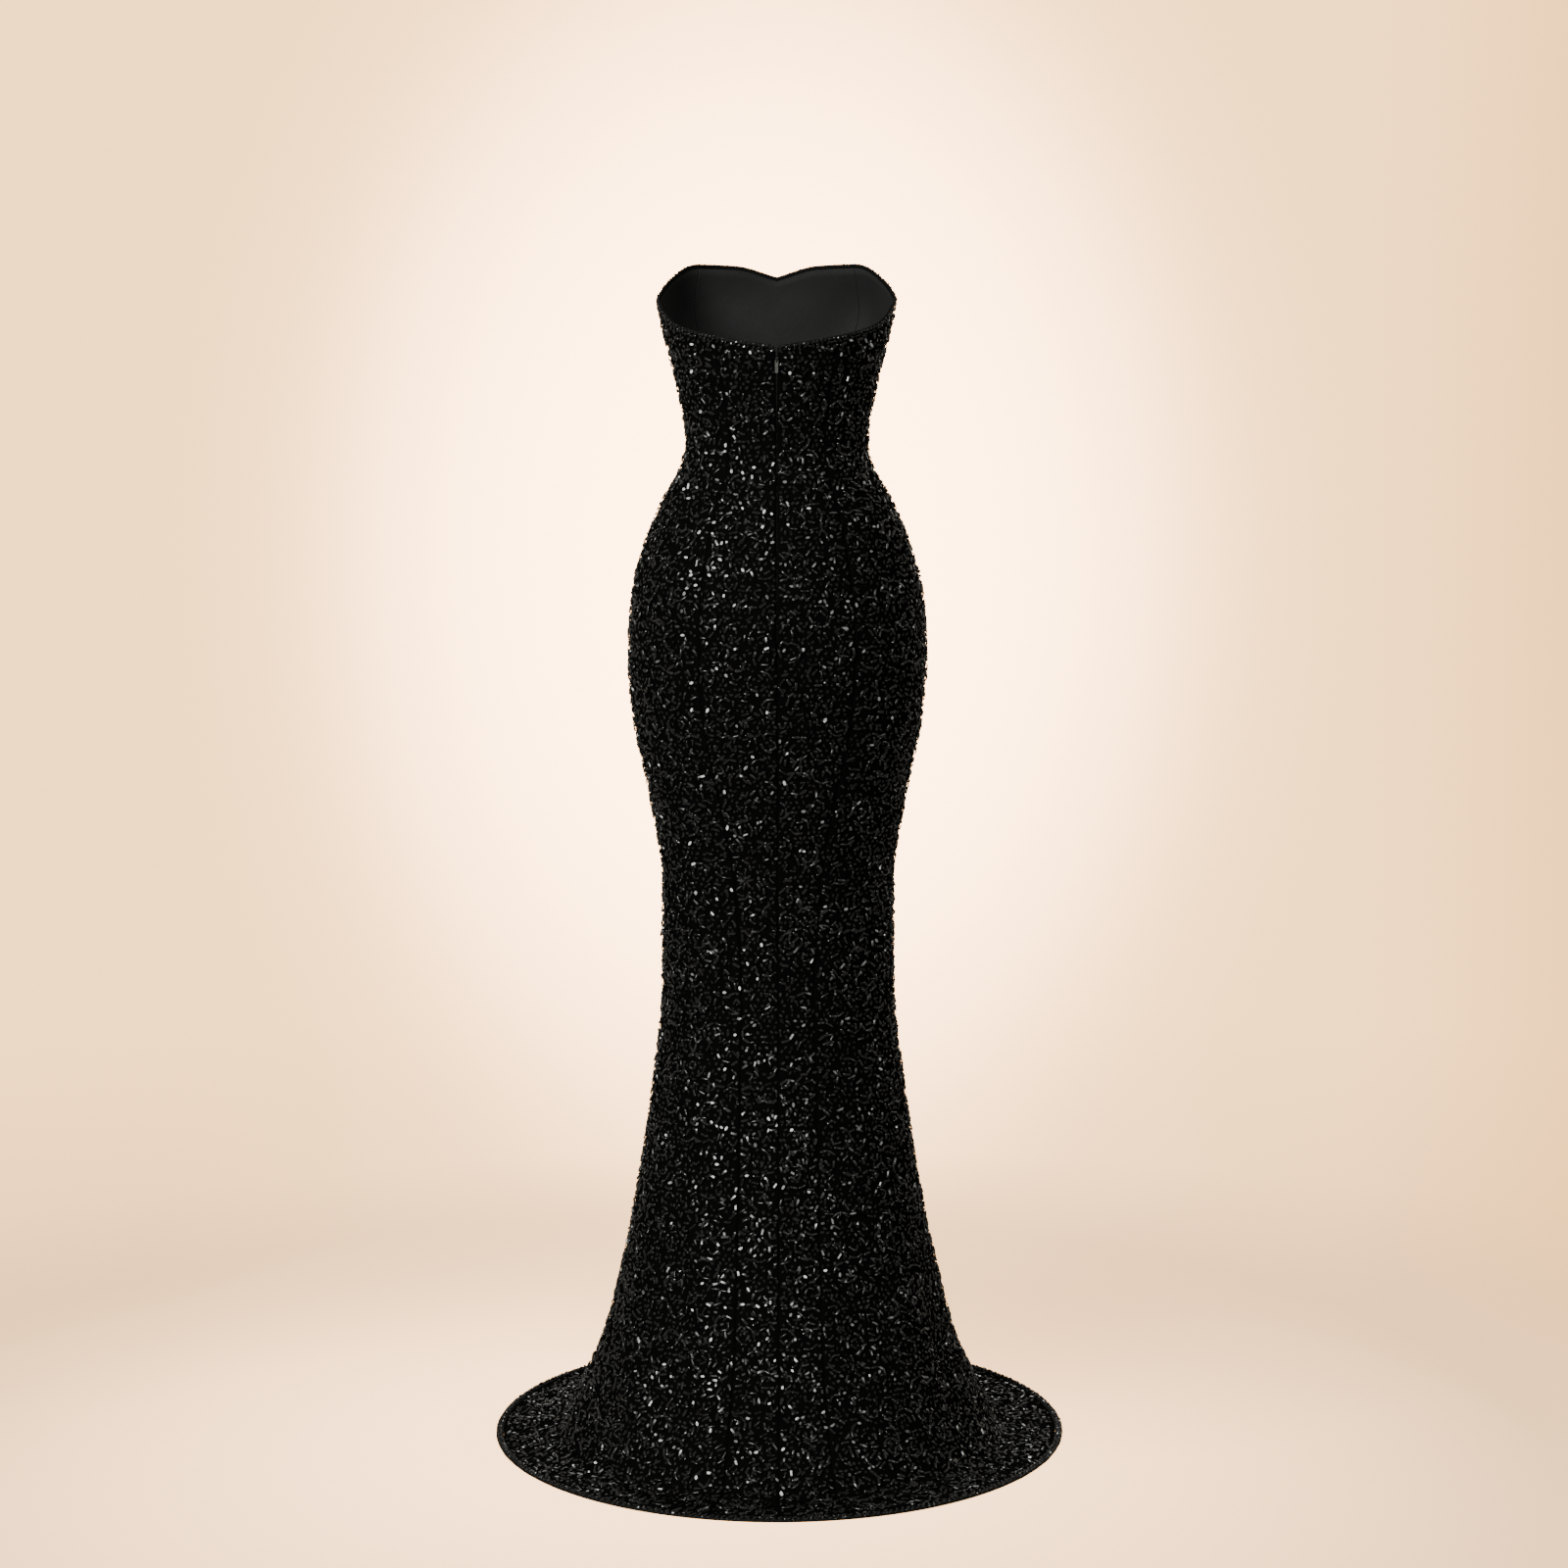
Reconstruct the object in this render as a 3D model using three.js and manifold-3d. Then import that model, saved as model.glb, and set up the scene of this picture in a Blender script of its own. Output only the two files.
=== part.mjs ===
// Strapless evening gown: a fitted bodice, a skirt that follows the hips to the knee, and a hem that
// spreads flat on the floor. It keeps its worn, hollow form. Millimetres, +Z up, the origin at the centre
// of the waist. The front faces -Y, the back faces +Y, and the wearer's left is +X.

import * as THREE from "three";
import { mergeVertices } from "three/addons/utils/BufferGeometryUtils.js";
import Module from "manifold-3d";

const wasm = await Module();
wasm.setup();

// Driving dimensions
const WAIST_HEIGHT = 1150; // floor to the waist
const CLOTH = 2; // beaded cloth with its backing
const SEAM_GAP = 0.3; // between pieces that are sewn together
const RING_PITCH = 46; // most between two rings of a panel, down the cloth
const BODICE_RINGS = 6; // of a panel, from the neckline to the waist
const NECK_BAND = { height: 4, thickness: 3.2, round: 0.96, crown: 0.72 };
const HEM_BAND = { width: 7, thickness: 3.4 };
const ZIP = { length: 330, slit: 1.8 };
const TAPE = { width: 11, thickness: 0.8, below: 8, behind: 0.4, inset: 0.3 };
const SLIDER = { below: 14, width: 6.4, height: 9, depth: 2.4, behind: 0.5 };
const NOSE = { width: 3.2, height: 6, depth: 1, clear: 0.5, raised: 0.6 };
const NECK = { width: 1, height: 4.5 };
const BRIDGE = { inner: 0.9, outer: 1.8, width: 1.2, standOff: 1.15 };
const PULL = { pin: 0.55, arm: 0.9, above: 0.5, thickness: 1, window: 2.4, inside: 2 };
const PULL_DROP = { length: 14, tip: 1.7 };

// Cross-sections of the whole gown, from above the neckline down to the hem. Heights are above the floor.
// halfWidth is to the side seam, back and front are from the waist's centre line, and centre is how far
// behind that line the widest point lies.
const SECTIONS = [
  { height: 1400, halfWidth: 137, back: 106, front: 90, centre: 0 },
  { height: 1350, halfWidth: 136, back: 102, front: 98, centre: 0 },
  { height: 1300, halfWidth: 133, back: 99, front: 106, centre: 0 },
  { height: 1250, halfWidth: 122, back: 95, front: 105, centre: 0 },
  { height: 1200, halfWidth: 110.5, back: 87, front: 96, centre: 0 },
  { height: 1150, halfWidth: 102.5, back: 81, front: 91, centre: 0 },
  { height: 1120, halfWidth: 108, back: 84, front: 94, centre: 0 },
  { height: 1080, halfWidth: 130, back: 98, front: 101, centre: 0 },
  { height: 1030, halfWidth: 152, back: 113, front: 106, centre: 0 },
  { height: 970, halfWidth: 167, back: 124, front: 109, centre: 0 },
  { height: 900, halfWidth: 171, back: 126, front: 110, centre: 0 },
  { height: 830, halfWidth: 165.5, back: 118, front: 109, centre: 0 },
  { height: 740, halfWidth: 147.5, back: 104, front: 105, centre: 0 },
  { height: 640, halfWidth: 133.5, back: 94, front: 100, centre: 0 },
  { height: 520, halfWidth: 134.5, back: 97, front: 101, centre: 1 },
  { height: 400, halfWidth: 147, back: 112, front: 110, centre: 5 },
  { height: 290, halfWidth: 164, back: 138, front: 127, centre: 11 },
  { height: 190, halfWidth: 184, back: 173, front: 150, centre: 18 },
  { height: 110, halfWidth: 205, back: 214, front: 176, centre: 25 },
  { height: 55, halfWidth: 230, back: 252, front: 198, centre: 31 },
  { height: 18, halfWidth: 249, back: 284, front: 216, centre: 35 },
  { height: 4, halfWidth: 261, back: 303, front: 228, centre: 37 },
  { height: 2, halfWidth: 279, back: 319, front: 240, centre: 39.5 },
  { height: 2, halfWidth: 302, back: 342, front: 262, centre: 40 },
  { height: 2, halfWidth: 329, back: 369, front: 289, centre: 40 },
];
const SECTION_COLUMNS = ["height", "halfWidth", "back", "front", "centre"];

// Height of the finished neckline, every 20 degrees from the centre back to the centre front.
const NECKLINE_STEP = 20;
const NECKLINE = [
  { angle: 0, height: 1254 },
  { angle: 20, height: 1260 },
  { angle: 40, height: 1268 },
  { angle: 60, height: 1279 },
  { angle: 80, height: 1302 },
  { angle: 100, height: 1314 },
  { angle: 120, height: 1331 },
  { angle: 140, height: 1348 },
  { angle: 160, height: 1346 },
  { angle: 180, height: 1333 },
];

// Where the long seams run: degrees round from the centre back, at the neckline, waist, hip, knee and hem.
const SEAM_HEIGHTS = [1300, 1150, 900, 520, 2];
const SEAMS = {
  back: [34, 31, 31, 18, 14],
  side: [90, 90, 90, 90, 90],
  front: [141, 149, 148, 150, 146],
};

// Bust shaping of the side front seams: how far it stands out, where, and how far it spreads.
const CUP = { rise: 25, angle: 139, spread: 19, height: 1280, above: 62, below: 44 };

// Soft folds of the skirt: the angle at the top and at the bottom, how wide, where it begins and ends above
// the floor, and how far it rises. A negative rise is a valley.
const FOLDS = [
  { top: 0, bottom: 0, spread: 9, begin: 780, end: 30, rise: 3.4 },
  { top: 60, bottom: 64, spread: 9, begin: 470, end: 60, rise: 4 },
  { top: 42, bottom: 38, spread: 8, begin: 380, end: 40, rise: -3 },
  { top: -52, bottom: -50, spread: 8, begin: 420, end: 25, rise: 4.5 },
  { top: -73, bottom: -64, spread: 7, begin: 330, end: 10, rise: -8 },
  { top: -33, bottom: -30, spread: 9, begin: 300, end: 25, rise: -3 },
  { top: 108, bottom: 112, spread: 9, begin: 400, end: 30, rise: -5 },
  { top: 127, bottom: 129, spread: 8, begin: 520, end: 20, rise: 5 },
  { top: 160, bottom: 157, spread: 9, begin: 440, end: 30, rise: -5 },
  { top: 181, bottom: 183, spread: 9, begin: 560, end: 20, rise: 5 },
  { top: 206, bottom: 209, spread: 9, begin: 380, end: 25, rise: -6 },
  { top: 229, bottom: 233, spread: 8, begin: 470, end: 20, rise: 5 },
  { top: 251, bottom: 252, spread: 8, begin: 340, end: 40, rise: -4 },
];

const rad = THREE.MathUtils.degToRad;

// Slopes of a smooth curve through evenly spaced values that never overshoots them.
function slopesOf(values) {
  const steps = values.slice(1).map((v, i) => v - values[i]);
  return values.map((_, i) => {
    if (i === 0) return steps[0];
    if (i === values.length - 1) return steps.at(-1);
    const [a, b] = [steps[i - 1], steps[i]];
    return a * b > 0 ? (2 * a * b) / (a + b) : 0;
  });
}

// A function of a place along evenly spaced values, counted in steps.
function curveThrough(values) {
  const slopes = slopesOf(values);
  return (place) => {
    const i = THREE.MathUtils.clamp(Math.floor(place), 0, values.length - 2);
    const t = place - i;
    const rise = t * t * (3 - 2 * t);
    const leave = t * (1 - t) * (1 - t);
    const arrive = t * t * (t - 1);
    return values[i] * (1 - rise) + values[i + 1] * rise + slopes[i] * leave + slopes[i + 1] * arrive;
  };
}

const sectionCurves = Object.fromEntries(
  SECTION_COLUMNS.map((name) => [name, curveThrough(SECTIONS.map((row) => row[name]))]),
);
const necklineCurve = curveThrough(NECKLINE.map((row) => row.height));
const WAIST_PLACE = SECTIONS.findIndex((row) => row.height === WAIST_HEIGHT);
const HEM_PLACE = SECTIONS.length - 1;
const HEM_EDGE = SECTIONS[HEM_PLACE];
const ZIP_END = necklineCurve(0) - ZIP.length;

// The place in SECTIONS, between two others, where a test stops being true, found by halving.
function placeWhere(holds, from, to) {
  let [low, high] = [from, to];
  while (high - low > 1e-7) {
    const middle = (low + high) / 2;
    if (holds(middle)) low = middle;
    else high = middle;
  }
  return low;
}

// The place at a height above the floor.
function placeAt(height) {
  return placeWhere((place) => sectionCurves.height(place) > height, 0, HEM_PLACE - 1);
}

// The place on the flat hem that lies inside its edge by a distance.
function hemPlace(inside) {
  const width = HEM_EDGE.halfWidth - inside;
  return placeWhere((place) => sectionCurves.halfWidth(place) < width, HEM_PLACE - 1, HEM_PLACE);
}

// Degrees round from the centre back, folded to one side: 0 at the back and 180 at the front.
function foldedAngle(phi) {
  const turn = Math.abs(THREE.MathUtils.radToDeg(phi)) % 360;
  return turn > 180 ? 360 - turn : turn;
}

function bell(offset, spread) {
  return Math.exp(-((offset / spread) ** 2));
}

function cupRise(phi, height) {
  const drop = height - CUP.height;
  const upright = bell(drop, drop > 0 ? CUP.above : CUP.below);
  return CUP.rise * upright * bell(foldedAngle(phi) - CUP.angle, CUP.spread);
}

// The folds' height at an angle: each swells from nothing where it begins and sinks to nothing at its end.
function foldRise(phi, height) {
  const angle = THREE.MathUtils.radToDeg(phi);
  return FOLDS.reduce((sum, fold) => {
    const along = THREE.MathUtils.clamp((fold.begin - height) / (fold.begin - fold.end), 0, 1);
    const middle = THREE.MathUtils.lerp(fold.top, fold.bottom, along);
    const offset = THREE.MathUtils.euclideanModulo(angle - middle + 180, 360) - 180;
    const swell = Math.sin(Math.PI * along ** 1.6) ** 2;
    return sum + fold.rise * swell * bell(offset, fold.spread);
  }, 0);
}

// A point of the outer surface: half an ellipse at the back and half at the front, moved out by the cups
// and the folds.
function surface(phi, place) {
  const halfWidth = sectionCurves.halfWidth(place);
  const centre = sectionCurves.centre(place);
  const height = sectionCurves.height(place);
  const cos = Math.cos(phi);
  const depth = cos > 0 ? sectionCurves.back(place) - centre : sectionCurves.front(place) + centre;
  const out = new THREE.Vector2(Math.sin(phi) / halfWidth, cos / depth).normalize();
  const rise = cupRise(phi, height) + foldRise(phi, height);
  return new THREE.Vector3(
    halfWidth * Math.sin(phi) + out.x * rise,
    centre + depth * cos + out.y * rise,
    height - WAIST_HEIGHT,
  );
}

// The surface's directions at a point: round it, down it, and out of it.
function directions(phi, place) {
  const step = 1e-3;
  const round = surface(phi + step, place).sub(surface(phi - step, place)).normalize();
  const down = surface(phi, Math.min(place + step, HEM_PLACE)).sub(surface(phi, place - step)).normalize();
  return { round, down, out: round.clone().cross(down).normalize() };
}

// Places of the rings below the waist, close enough together to follow the cloth.
function ringPlaces() {
  const places = [];
  for (let i = WAIST_PLACE; i < HEM_PLACE; i += 1) {
    const end = i === HEM_PLACE - 1 ? hemPlace(HEM_BAND.width + SEAM_GAP) : i + 1;
    const length = surface(0, i).distanceTo(surface(0, end));
    const count = Math.ceil(length / RING_PITCH);
    for (let k = 0; k < count; k += 1) places.push(i + ((end - i) * k) / count);
    if (i === HEM_PLACE - 1) places.push(end);
  }
  return places;
}

const RINGS = ringPlaces();

// The angle of a seam at a height in degrees, eased between the rows of its table.
function seamAngle(name, height) {
  const angles = SEAMS[name];
  const last = SEAM_HEIGHTS.length - 1;
  let i = 0;
  while (i < last - 1 && height < SEAM_HEIGHTS[i + 1]) i += 1;
  const share = (SEAM_HEIGHTS[i] - height) / (SEAM_HEIGHTS[i] - SEAM_HEIGHTS[i + 1]);
  const eased = THREE.MathUtils.smoothstep(share, 0, 1);
  return THREE.MathUtils.lerp(angles[i], angles[i + 1], eased);
}

// A long seam on one side, as its angle in radians and half its gap at a height. The left side is 1 and the
// right side is -1.
function seam(name, side) {
  return { angle: (height) => rad(side * seamAngle(name, height)), half: () => SEAM_GAP / 2 };
}

// The same seam, its angle counted on past the centre front.
function pastFront({ angle, half }) {
  return { angle: (height) => 2 * Math.PI + angle(height), half };
}

// The centre back seam, whose gap opens to the slit of the zip.
const centreBack = { angle: () => 0, half: (height) => (height > ZIP_END ? ZIP.slit : SEAM_GAP) / 2 };

// Places down one column of a panel, from the neckline band to the hem band.
function columnPlaces(phi) {
  const neckline = necklineCurve(foldedAngle(phi) / NECKLINE_STEP);
  const top = placeAt(neckline - NECK_BAND.height - SEAM_GAP);
  const bodice = [];
  for (let k = 0; k < BODICE_RINGS; k += 1) {
    bodice.push(THREE.MathUtils.lerp(top, WAIST_PLACE, k / BODICE_RINGS));
  }
  return [...bodice, ...RINGS];
}

// A panel between two seams: rows of points from the neckline to the hem, each with its directions. A
// column's neckline is taken where the column crosses the top of the seams.
function panelGrid(from, to, columns) {
  const shares = Array.from({ length: columns + 1 }, (_, c) => c / columns);
  const top = SEAM_HEIGHTS[0];
  const places = shares.map((share) => {
    return columnPlaces(THREE.MathUtils.lerp(from.angle(top), to.angle(top), share));
  });
  return places[0].map((_, r) => shares.map((share, c) => {
    const place = places[c][r];
    const height = sectionCurves.height(place);
    const edge = ({ angle, half }, side) => {
      const phi = angle(height);
      const perRadian = surface(phi + 1e-3, place).distanceTo(surface(phi - 1e-3, place)) / 2e-3;
      return phi + (side * half(height)) / perRadian;
    };
    const phi = THREE.MathUtils.lerp(edge(from, 1), edge(to, -1), share);
    return { point: surface(phi, place), ...directions(phi, place) };
  }));
}

// The same grid moved along its normals, kept above the floor by a least height.
function moved(rows, distance, least) {
  const floor = -WAIST_HEIGHT + least;
  return rows.map((row) =>
    row.map(({ point, out }) => {
      const at = point.clone().addScaledVector(out, distance);
      at.z = Math.max(at.z, floor);
      return at;
    }),
  );
}

// A closed wall between two grids of points, the outer one seen from outside with its columns going left.
function wall(outer, inner) {
  const [rows, columns] = [outer.length, outer[0].length];
  const positions = [...outer.flat(), ...inner.flat()].flatMap((p) => p.toArray());
  const index = [];
  const at = (layer, r, c) => layer * rows * columns + r * columns + c;
  const quad = (a, b, c, d) => index.push(a, b, c, a, c, d);
  for (let r = 0; r < rows - 1; r += 1) {
    for (let c = 0; c < columns - 1; c += 1) {
      quad(at(0, r, c), at(0, r, c + 1), at(0, r + 1, c + 1), at(0, r + 1, c));
      quad(at(1, r, c), at(1, r + 1, c), at(1, r + 1, c + 1), at(1, r, c + 1));
    }
  }
  const last = columns - 1;
  for (let r = 0; r < rows - 1; r += 1) {
    quad(at(0, r, 0), at(0, r + 1, 0), at(1, r + 1, 0), at(1, r, 0));
    quad(at(0, r, last), at(1, r, last), at(1, r + 1, last), at(0, r + 1, last));
  }
  for (let c = 0; c < last; c += 1) {
    quad(at(0, 0, c), at(1, 0, c), at(1, 0, c + 1), at(0, 0, c + 1));
    quad(at(0, rows - 1, c), at(0, rows - 1, c + 1), at(1, rows - 1, c + 1), at(1, rows - 1, c));
  }
  return indexed(positions, index);
}

function indexed(positions, index) {
  const geometry = new THREE.BufferGeometry();
  geometry.setAttribute("position", new THREE.Float32BufferAttribute(positions, 3));
  geometry.setIndex(index);
  return geometry;
}

// A closed tube through rings of points; an open one has flat ends.
function tubeThrough(rings, closed) {
  const sides = rings[0].length;
  const positions = rings.flat().flatMap((p) => p.toArray());
  const index = [];
  const count = rings.length;
  for (let i = 0; i < (closed ? count : count - 1); i += 1) {
    for (let k = 0; k < sides; k += 1) {
      const [a, b] = [i * sides + k, i * sides + ((k + 1) % sides)];
      const [c, d] = [((i + 1) % count) * sides + ((k + 1) % sides), ((i + 1) % count) * sides + k];
      index.push(a, b, c, a, c, d);
    }
  }
  if (!closed) {
    const end = (count - 1) * sides;
    for (let k = 1; k < sides - 1; k += 1) {
      index.push(0, k + 1, k);
      index.push(end, end + k, end + k + 1);
    }
  }
  return indexed(positions, index);
}

const material = (color, roughness, metalness) =>
  new THREE.MeshStandardMaterial({ color, roughness, metalness });

function mesh(name, geometry, finish) {
  const made = new THREE.Mesh(geometry, finish);
  made.name = name;
  return made;
}

const gown = new THREE.Group();

// The seven panels, cut to run from the neckline to the hem in one piece each.
const PANELS = [
  { name: "centre_back_left", from: centreBack, to: seam("back", 1), columns: 4 },
  { name: "side_back_left", from: seam("back", 1), to: seam("side", 1), columns: 9 },
  { name: "side_front_left", from: seam("side", 1), to: seam("front", 1), columns: 9 },
  { name: "centre_front", from: seam("front", 1), to: pastFront(seam("front", -1)), columns: 12 },
  { name: "side_front_right", from: seam("front", -1), to: seam("side", -1), columns: 9 },
  { name: "side_back_right", from: seam("side", -1), to: seam("back", -1), columns: 9 },
  { name: "centre_back_right", from: seam("back", -1), to: centreBack, columns: 4 },
];
const grids = {};
for (const panel of PANELS) {
  const grid = panelGrid(panel.from, panel.to, panel.columns);
  grids[panel.name] = grid;
  const geometry = wall(moved(grid, 0, CLOTH), moved(grid, -CLOTH, 0));
  gown.add(mesh(panel.name, geometry, material(0x0b0b0c, 0.45, 0.1)));
}

// Where two panels meet, their two edges are taken as one column in the middle of the seam.
function seamless(rowOf) {
  const cells = PANELS.flatMap(({ name }) => rowOf(grids[name]));
  return cells.flatMap((cell, i) => {
    const next = cells[i + 1];
    const meets = next && cell.point.distanceTo(next.point) < 2 * SEAM_GAP;
    if (meets) return [{ ...cell, point: cell.point.clone().lerp(next.point, 0.5) }];
    const before = cells[i - 1];
    return before && cell.point.distanceTo(before.point) < 2 * SEAM_GAP ? [] : [cell];
  });
}

// The band that binds the neckline, from one side of the zip round the front to the other. Its section has
// a rounded top and stands on the panels' top edges.
function neckBand() {
  const half = NECK_BAND.thickness / 2;
  const { height, round, crown } = NECK_BAND;
  const section = [
    { out: half, up: 0 },
    { out: half, up: height - round },
    { out: crown, up: height },
    { out: -crown, up: height },
    { out: -half, up: height - round },
    { out: -half, up: 0 },
  ];
  const rings = seamless((grid) => grid[0]).map((cell) => {
    const foot = cell.point.clone().addScaledVector(cell.out, -CLOTH / 2);
    foot.addScaledVector(cell.down, -SEAM_GAP);
    return section.map(({ out, up }) =>
      foot.clone().addScaledVector(cell.out, out).addScaledVector(cell.down, -up));
  });
  return tubeThrough(rings, false);
}
gown.add(mesh("neck_binding", neckBand(), material(0x08080a, 0.6, 0)));

// The band round the hem lies flat on the floor, with a rounded outer edge.
function hemBand() {
  const { width, thickness } = HEM_BAND;
  const section = [
    { inside: width * 0.08, up: 0 },
    { inside: 0, up: thickness * 0.55 },
    { inside: width * 0.2, up: thickness },
    { inside: width * 0.6, up: thickness },
    { inside: width, up: thickness * 0.7 },
    { inside: width, up: 0 },
  ];
  const middle = new THREE.Vector3(0, HEM_EDGE.centre, -WAIST_HEIGHT);
  const rings = seamless((grid) => grid.at(-1)).slice(0, -1).map(({ point }) => {
    const outward = point.clone().sub(middle).setZ(0).normalize();
    return section.map(({ inside, up }) => {
      const at = middle.clone().addScaledVector(outward, HEM_EDGE.halfWidth - inside);
      return at.setZ(up - WAIST_HEIGHT);
    });
  });
  return tubeThrough(rings, true);
}
gown.add(mesh("hem_binding", hemBand(), material(0x08080a, 0.6, 0)));

// A zip tape on the inside of a back panel, made from the panel's own points beside the zip. The left side
// is 1 and the right side is -1.
function zipTape(grid, side) {
  const rows = grid.filter((row) => row[0].point.z > ZIP_END - WAIST_HEIGHT - RING_PITCH);
  const edge = side > 0 ? 0 : rows[0].length - 1;
  const strip = rows.map((row, r) => {
    const [at, beside] = [row[edge], row[edge + side]];
    const across = [TAPE.inset, TAPE.width / 2, TAPE.width].map((away) => {
      const share = away / at.point.distanceTo(beside.point);
      const point = at.point.clone().lerp(beside.point, share);
      if (r === 0) point.addScaledVector(at.down, TAPE.below);
      return { point, out: at.out.clone().lerp(beside.out, share).normalize() };
    });
    return side > 0 ? across : across.reverse();
  });
  const face = -CLOTH - TAPE.behind;
  return wall(moved(strip, face, 0), moved(strip, face - TAPE.thickness, 0));
}
gown.add(mesh("zip_tape_left", zipTape(grids.centre_back_left, 1), material(0x0a0a0a, 0.8, 0)));
gown.add(mesh("zip_tape_right", zipTape(grids.centre_back_right, -1), material(0x0a0a0a, 0.8, 0)));

// A three.js geometry as a solid for joining.
function solidOf(geometry) {
  const plain = geometry.clone();
  plain.deleteAttribute("normal");
  plain.deleteAttribute("uv");
  const merged = mergeVertices(plain, 1e-4);
  return new wasm.Manifold(new wasm.Mesh({
    numProp: 3,
    vertProperties: merged.attributes.position.array,
    triVerts: new Uint32Array(merged.index.array),
  }));
}

function geometryOf(solid) {
  const made = solid.getMesh();
  return indexed(Array.from(made.vertProperties), Array.from(made.triVerts));
}

const joined = (solids) => geometryOf(solids.reduce((sum, solid) => sum.add(solid)));

const box = (width, depth, height, x, y, z) =>
  solidOf(new THREE.BoxGeometry(width, depth, height).translate(x, y, z));

// A round piece along X, centred on the pin's axis.
function roundAcross(radius, length, sides) {
  return solidOf(new THREE.CylinderGeometry(radius, radius, length, sides).rotateZ(Math.PI / 2));
}

// The zip's slider and its pull tab are made about the pin's axis, then moved to it. The slider leans with
// the cloth.
const sliderPlace = placeAt(necklineCurve(0) - SLIDER.below);
const clothOut = directions(0, sliderPlace).out;
const lean = Math.atan2(clothOut.z, clothOut.y);
const noseFront = NOSE.clear + NOSE.depth;
const pin = surface(0, sliderPlace).addScaledVector(clothOut, noseFront + BRIDGE.standOff);

// The slider's body runs on the tapes inside the gown. Its neck passes through the slit to a nose on the
// outside, which carries the round bridge of the pull tab.
function slider() {
  const noseY = -BRIDGE.standOff - NOSE.depth / 2;
  const cloth = -BRIDGE.standOff - noseFront;
  const bodyFront = cloth - CLOTH - TAPE.behind - TAPE.thickness - SLIDER.behind;
  const neckDepth = noseY - bodyFront + SLIDER.depth / 2;
  const hole = roundAcross(BRIDGE.inner, 2 * BRIDGE.width, 12);
  return joined([
    box(NOSE.width, NOSE.depth, NOSE.height, 0, noseY, NOSE.raised),
    box(NECK.width, neckDepth, NECK.height, 0, noseY - neckDepth / 2, NOSE.raised),
    box(SLIDER.width, SLIDER.depth, SLIDER.height, 0, bodyFront - SLIDER.depth / 2, 0),
    roundAcross(BRIDGE.outer, BRIDGE.width, 16).subtract(hole),
  ]);
}

// The tab hangs from a round pin through the bridge, with a window that clears the bridge as it swings.
function pullTab() {
  const { arm, above, inside, window: gap, thickness } = PULL;
  const { length, tip } = PULL_DROP;
  const side = inside / 2 + arm;
  const outline = new THREE.Shape();
  outline.moveTo(-side, above);
  outline.lineTo(-side, -gap);
  outline.absarc(0, tip - length, tip, Math.PI, 2 * Math.PI, false);
  outline.lineTo(side, -gap);
  outline.lineTo(side, above);
  const options = { depth: thickness, bevelEnabled: false, curveSegments: 6 };
  const plate = new THREE.ExtrudeGeometry(outline, options).translate(0, 0, -thickness / 2);
  const window = box(inside, 2 * thickness, 2 * gap, 0, 0, 0);
  return joined([
    solidOf(plate.rotateX(Math.PI / 2)).subtract(window),
    roundAcross(PULL.pin, inside + arm, 10),
  ]);
}

const metal = () => material(0x2a2a2c, 0.3, 0.9);
const sliderMesh = mesh("zip_slider", slider(), metal());
sliderMesh.position.copy(pin);
sliderMesh.rotation.x = lean;
gown.add(sliderMesh);
const tabMesh = mesh("pull_tab", pullTab(), metal());
tabMesh.position.copy(pin);
gown.add(tabMesh);

export default gown;
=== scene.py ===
"""A strapless evening gown in beaded black net, seen from behind, standing in its worn, hollow form."""

import bpy
import numpy as np
from mathutils import Matrix


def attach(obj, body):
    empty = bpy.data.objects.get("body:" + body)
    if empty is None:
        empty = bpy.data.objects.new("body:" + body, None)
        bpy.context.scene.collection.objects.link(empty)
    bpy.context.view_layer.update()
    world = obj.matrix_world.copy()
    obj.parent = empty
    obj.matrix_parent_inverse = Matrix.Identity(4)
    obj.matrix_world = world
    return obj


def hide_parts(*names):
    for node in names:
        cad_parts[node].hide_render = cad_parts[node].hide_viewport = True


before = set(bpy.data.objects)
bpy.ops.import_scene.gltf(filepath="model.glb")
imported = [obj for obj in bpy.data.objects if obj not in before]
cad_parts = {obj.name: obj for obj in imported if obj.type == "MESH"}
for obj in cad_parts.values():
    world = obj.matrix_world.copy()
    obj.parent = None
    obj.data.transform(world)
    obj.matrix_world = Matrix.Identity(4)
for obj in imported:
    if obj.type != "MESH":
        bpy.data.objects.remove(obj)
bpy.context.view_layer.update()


# The seven long panels: fine black net on a thin backing, each cut in one piece from the neckline to the
# hem and shaped by its seams. The net is covered flat with beads and sequins, then cut, and the panels are
# sewn together edge to edge, so the cloth dips a little along each seam.
WAIST_HEIGHT = 1.150
SECTION_COLUMNS = ("height", "half_width", "back", "front", "centre")
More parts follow.
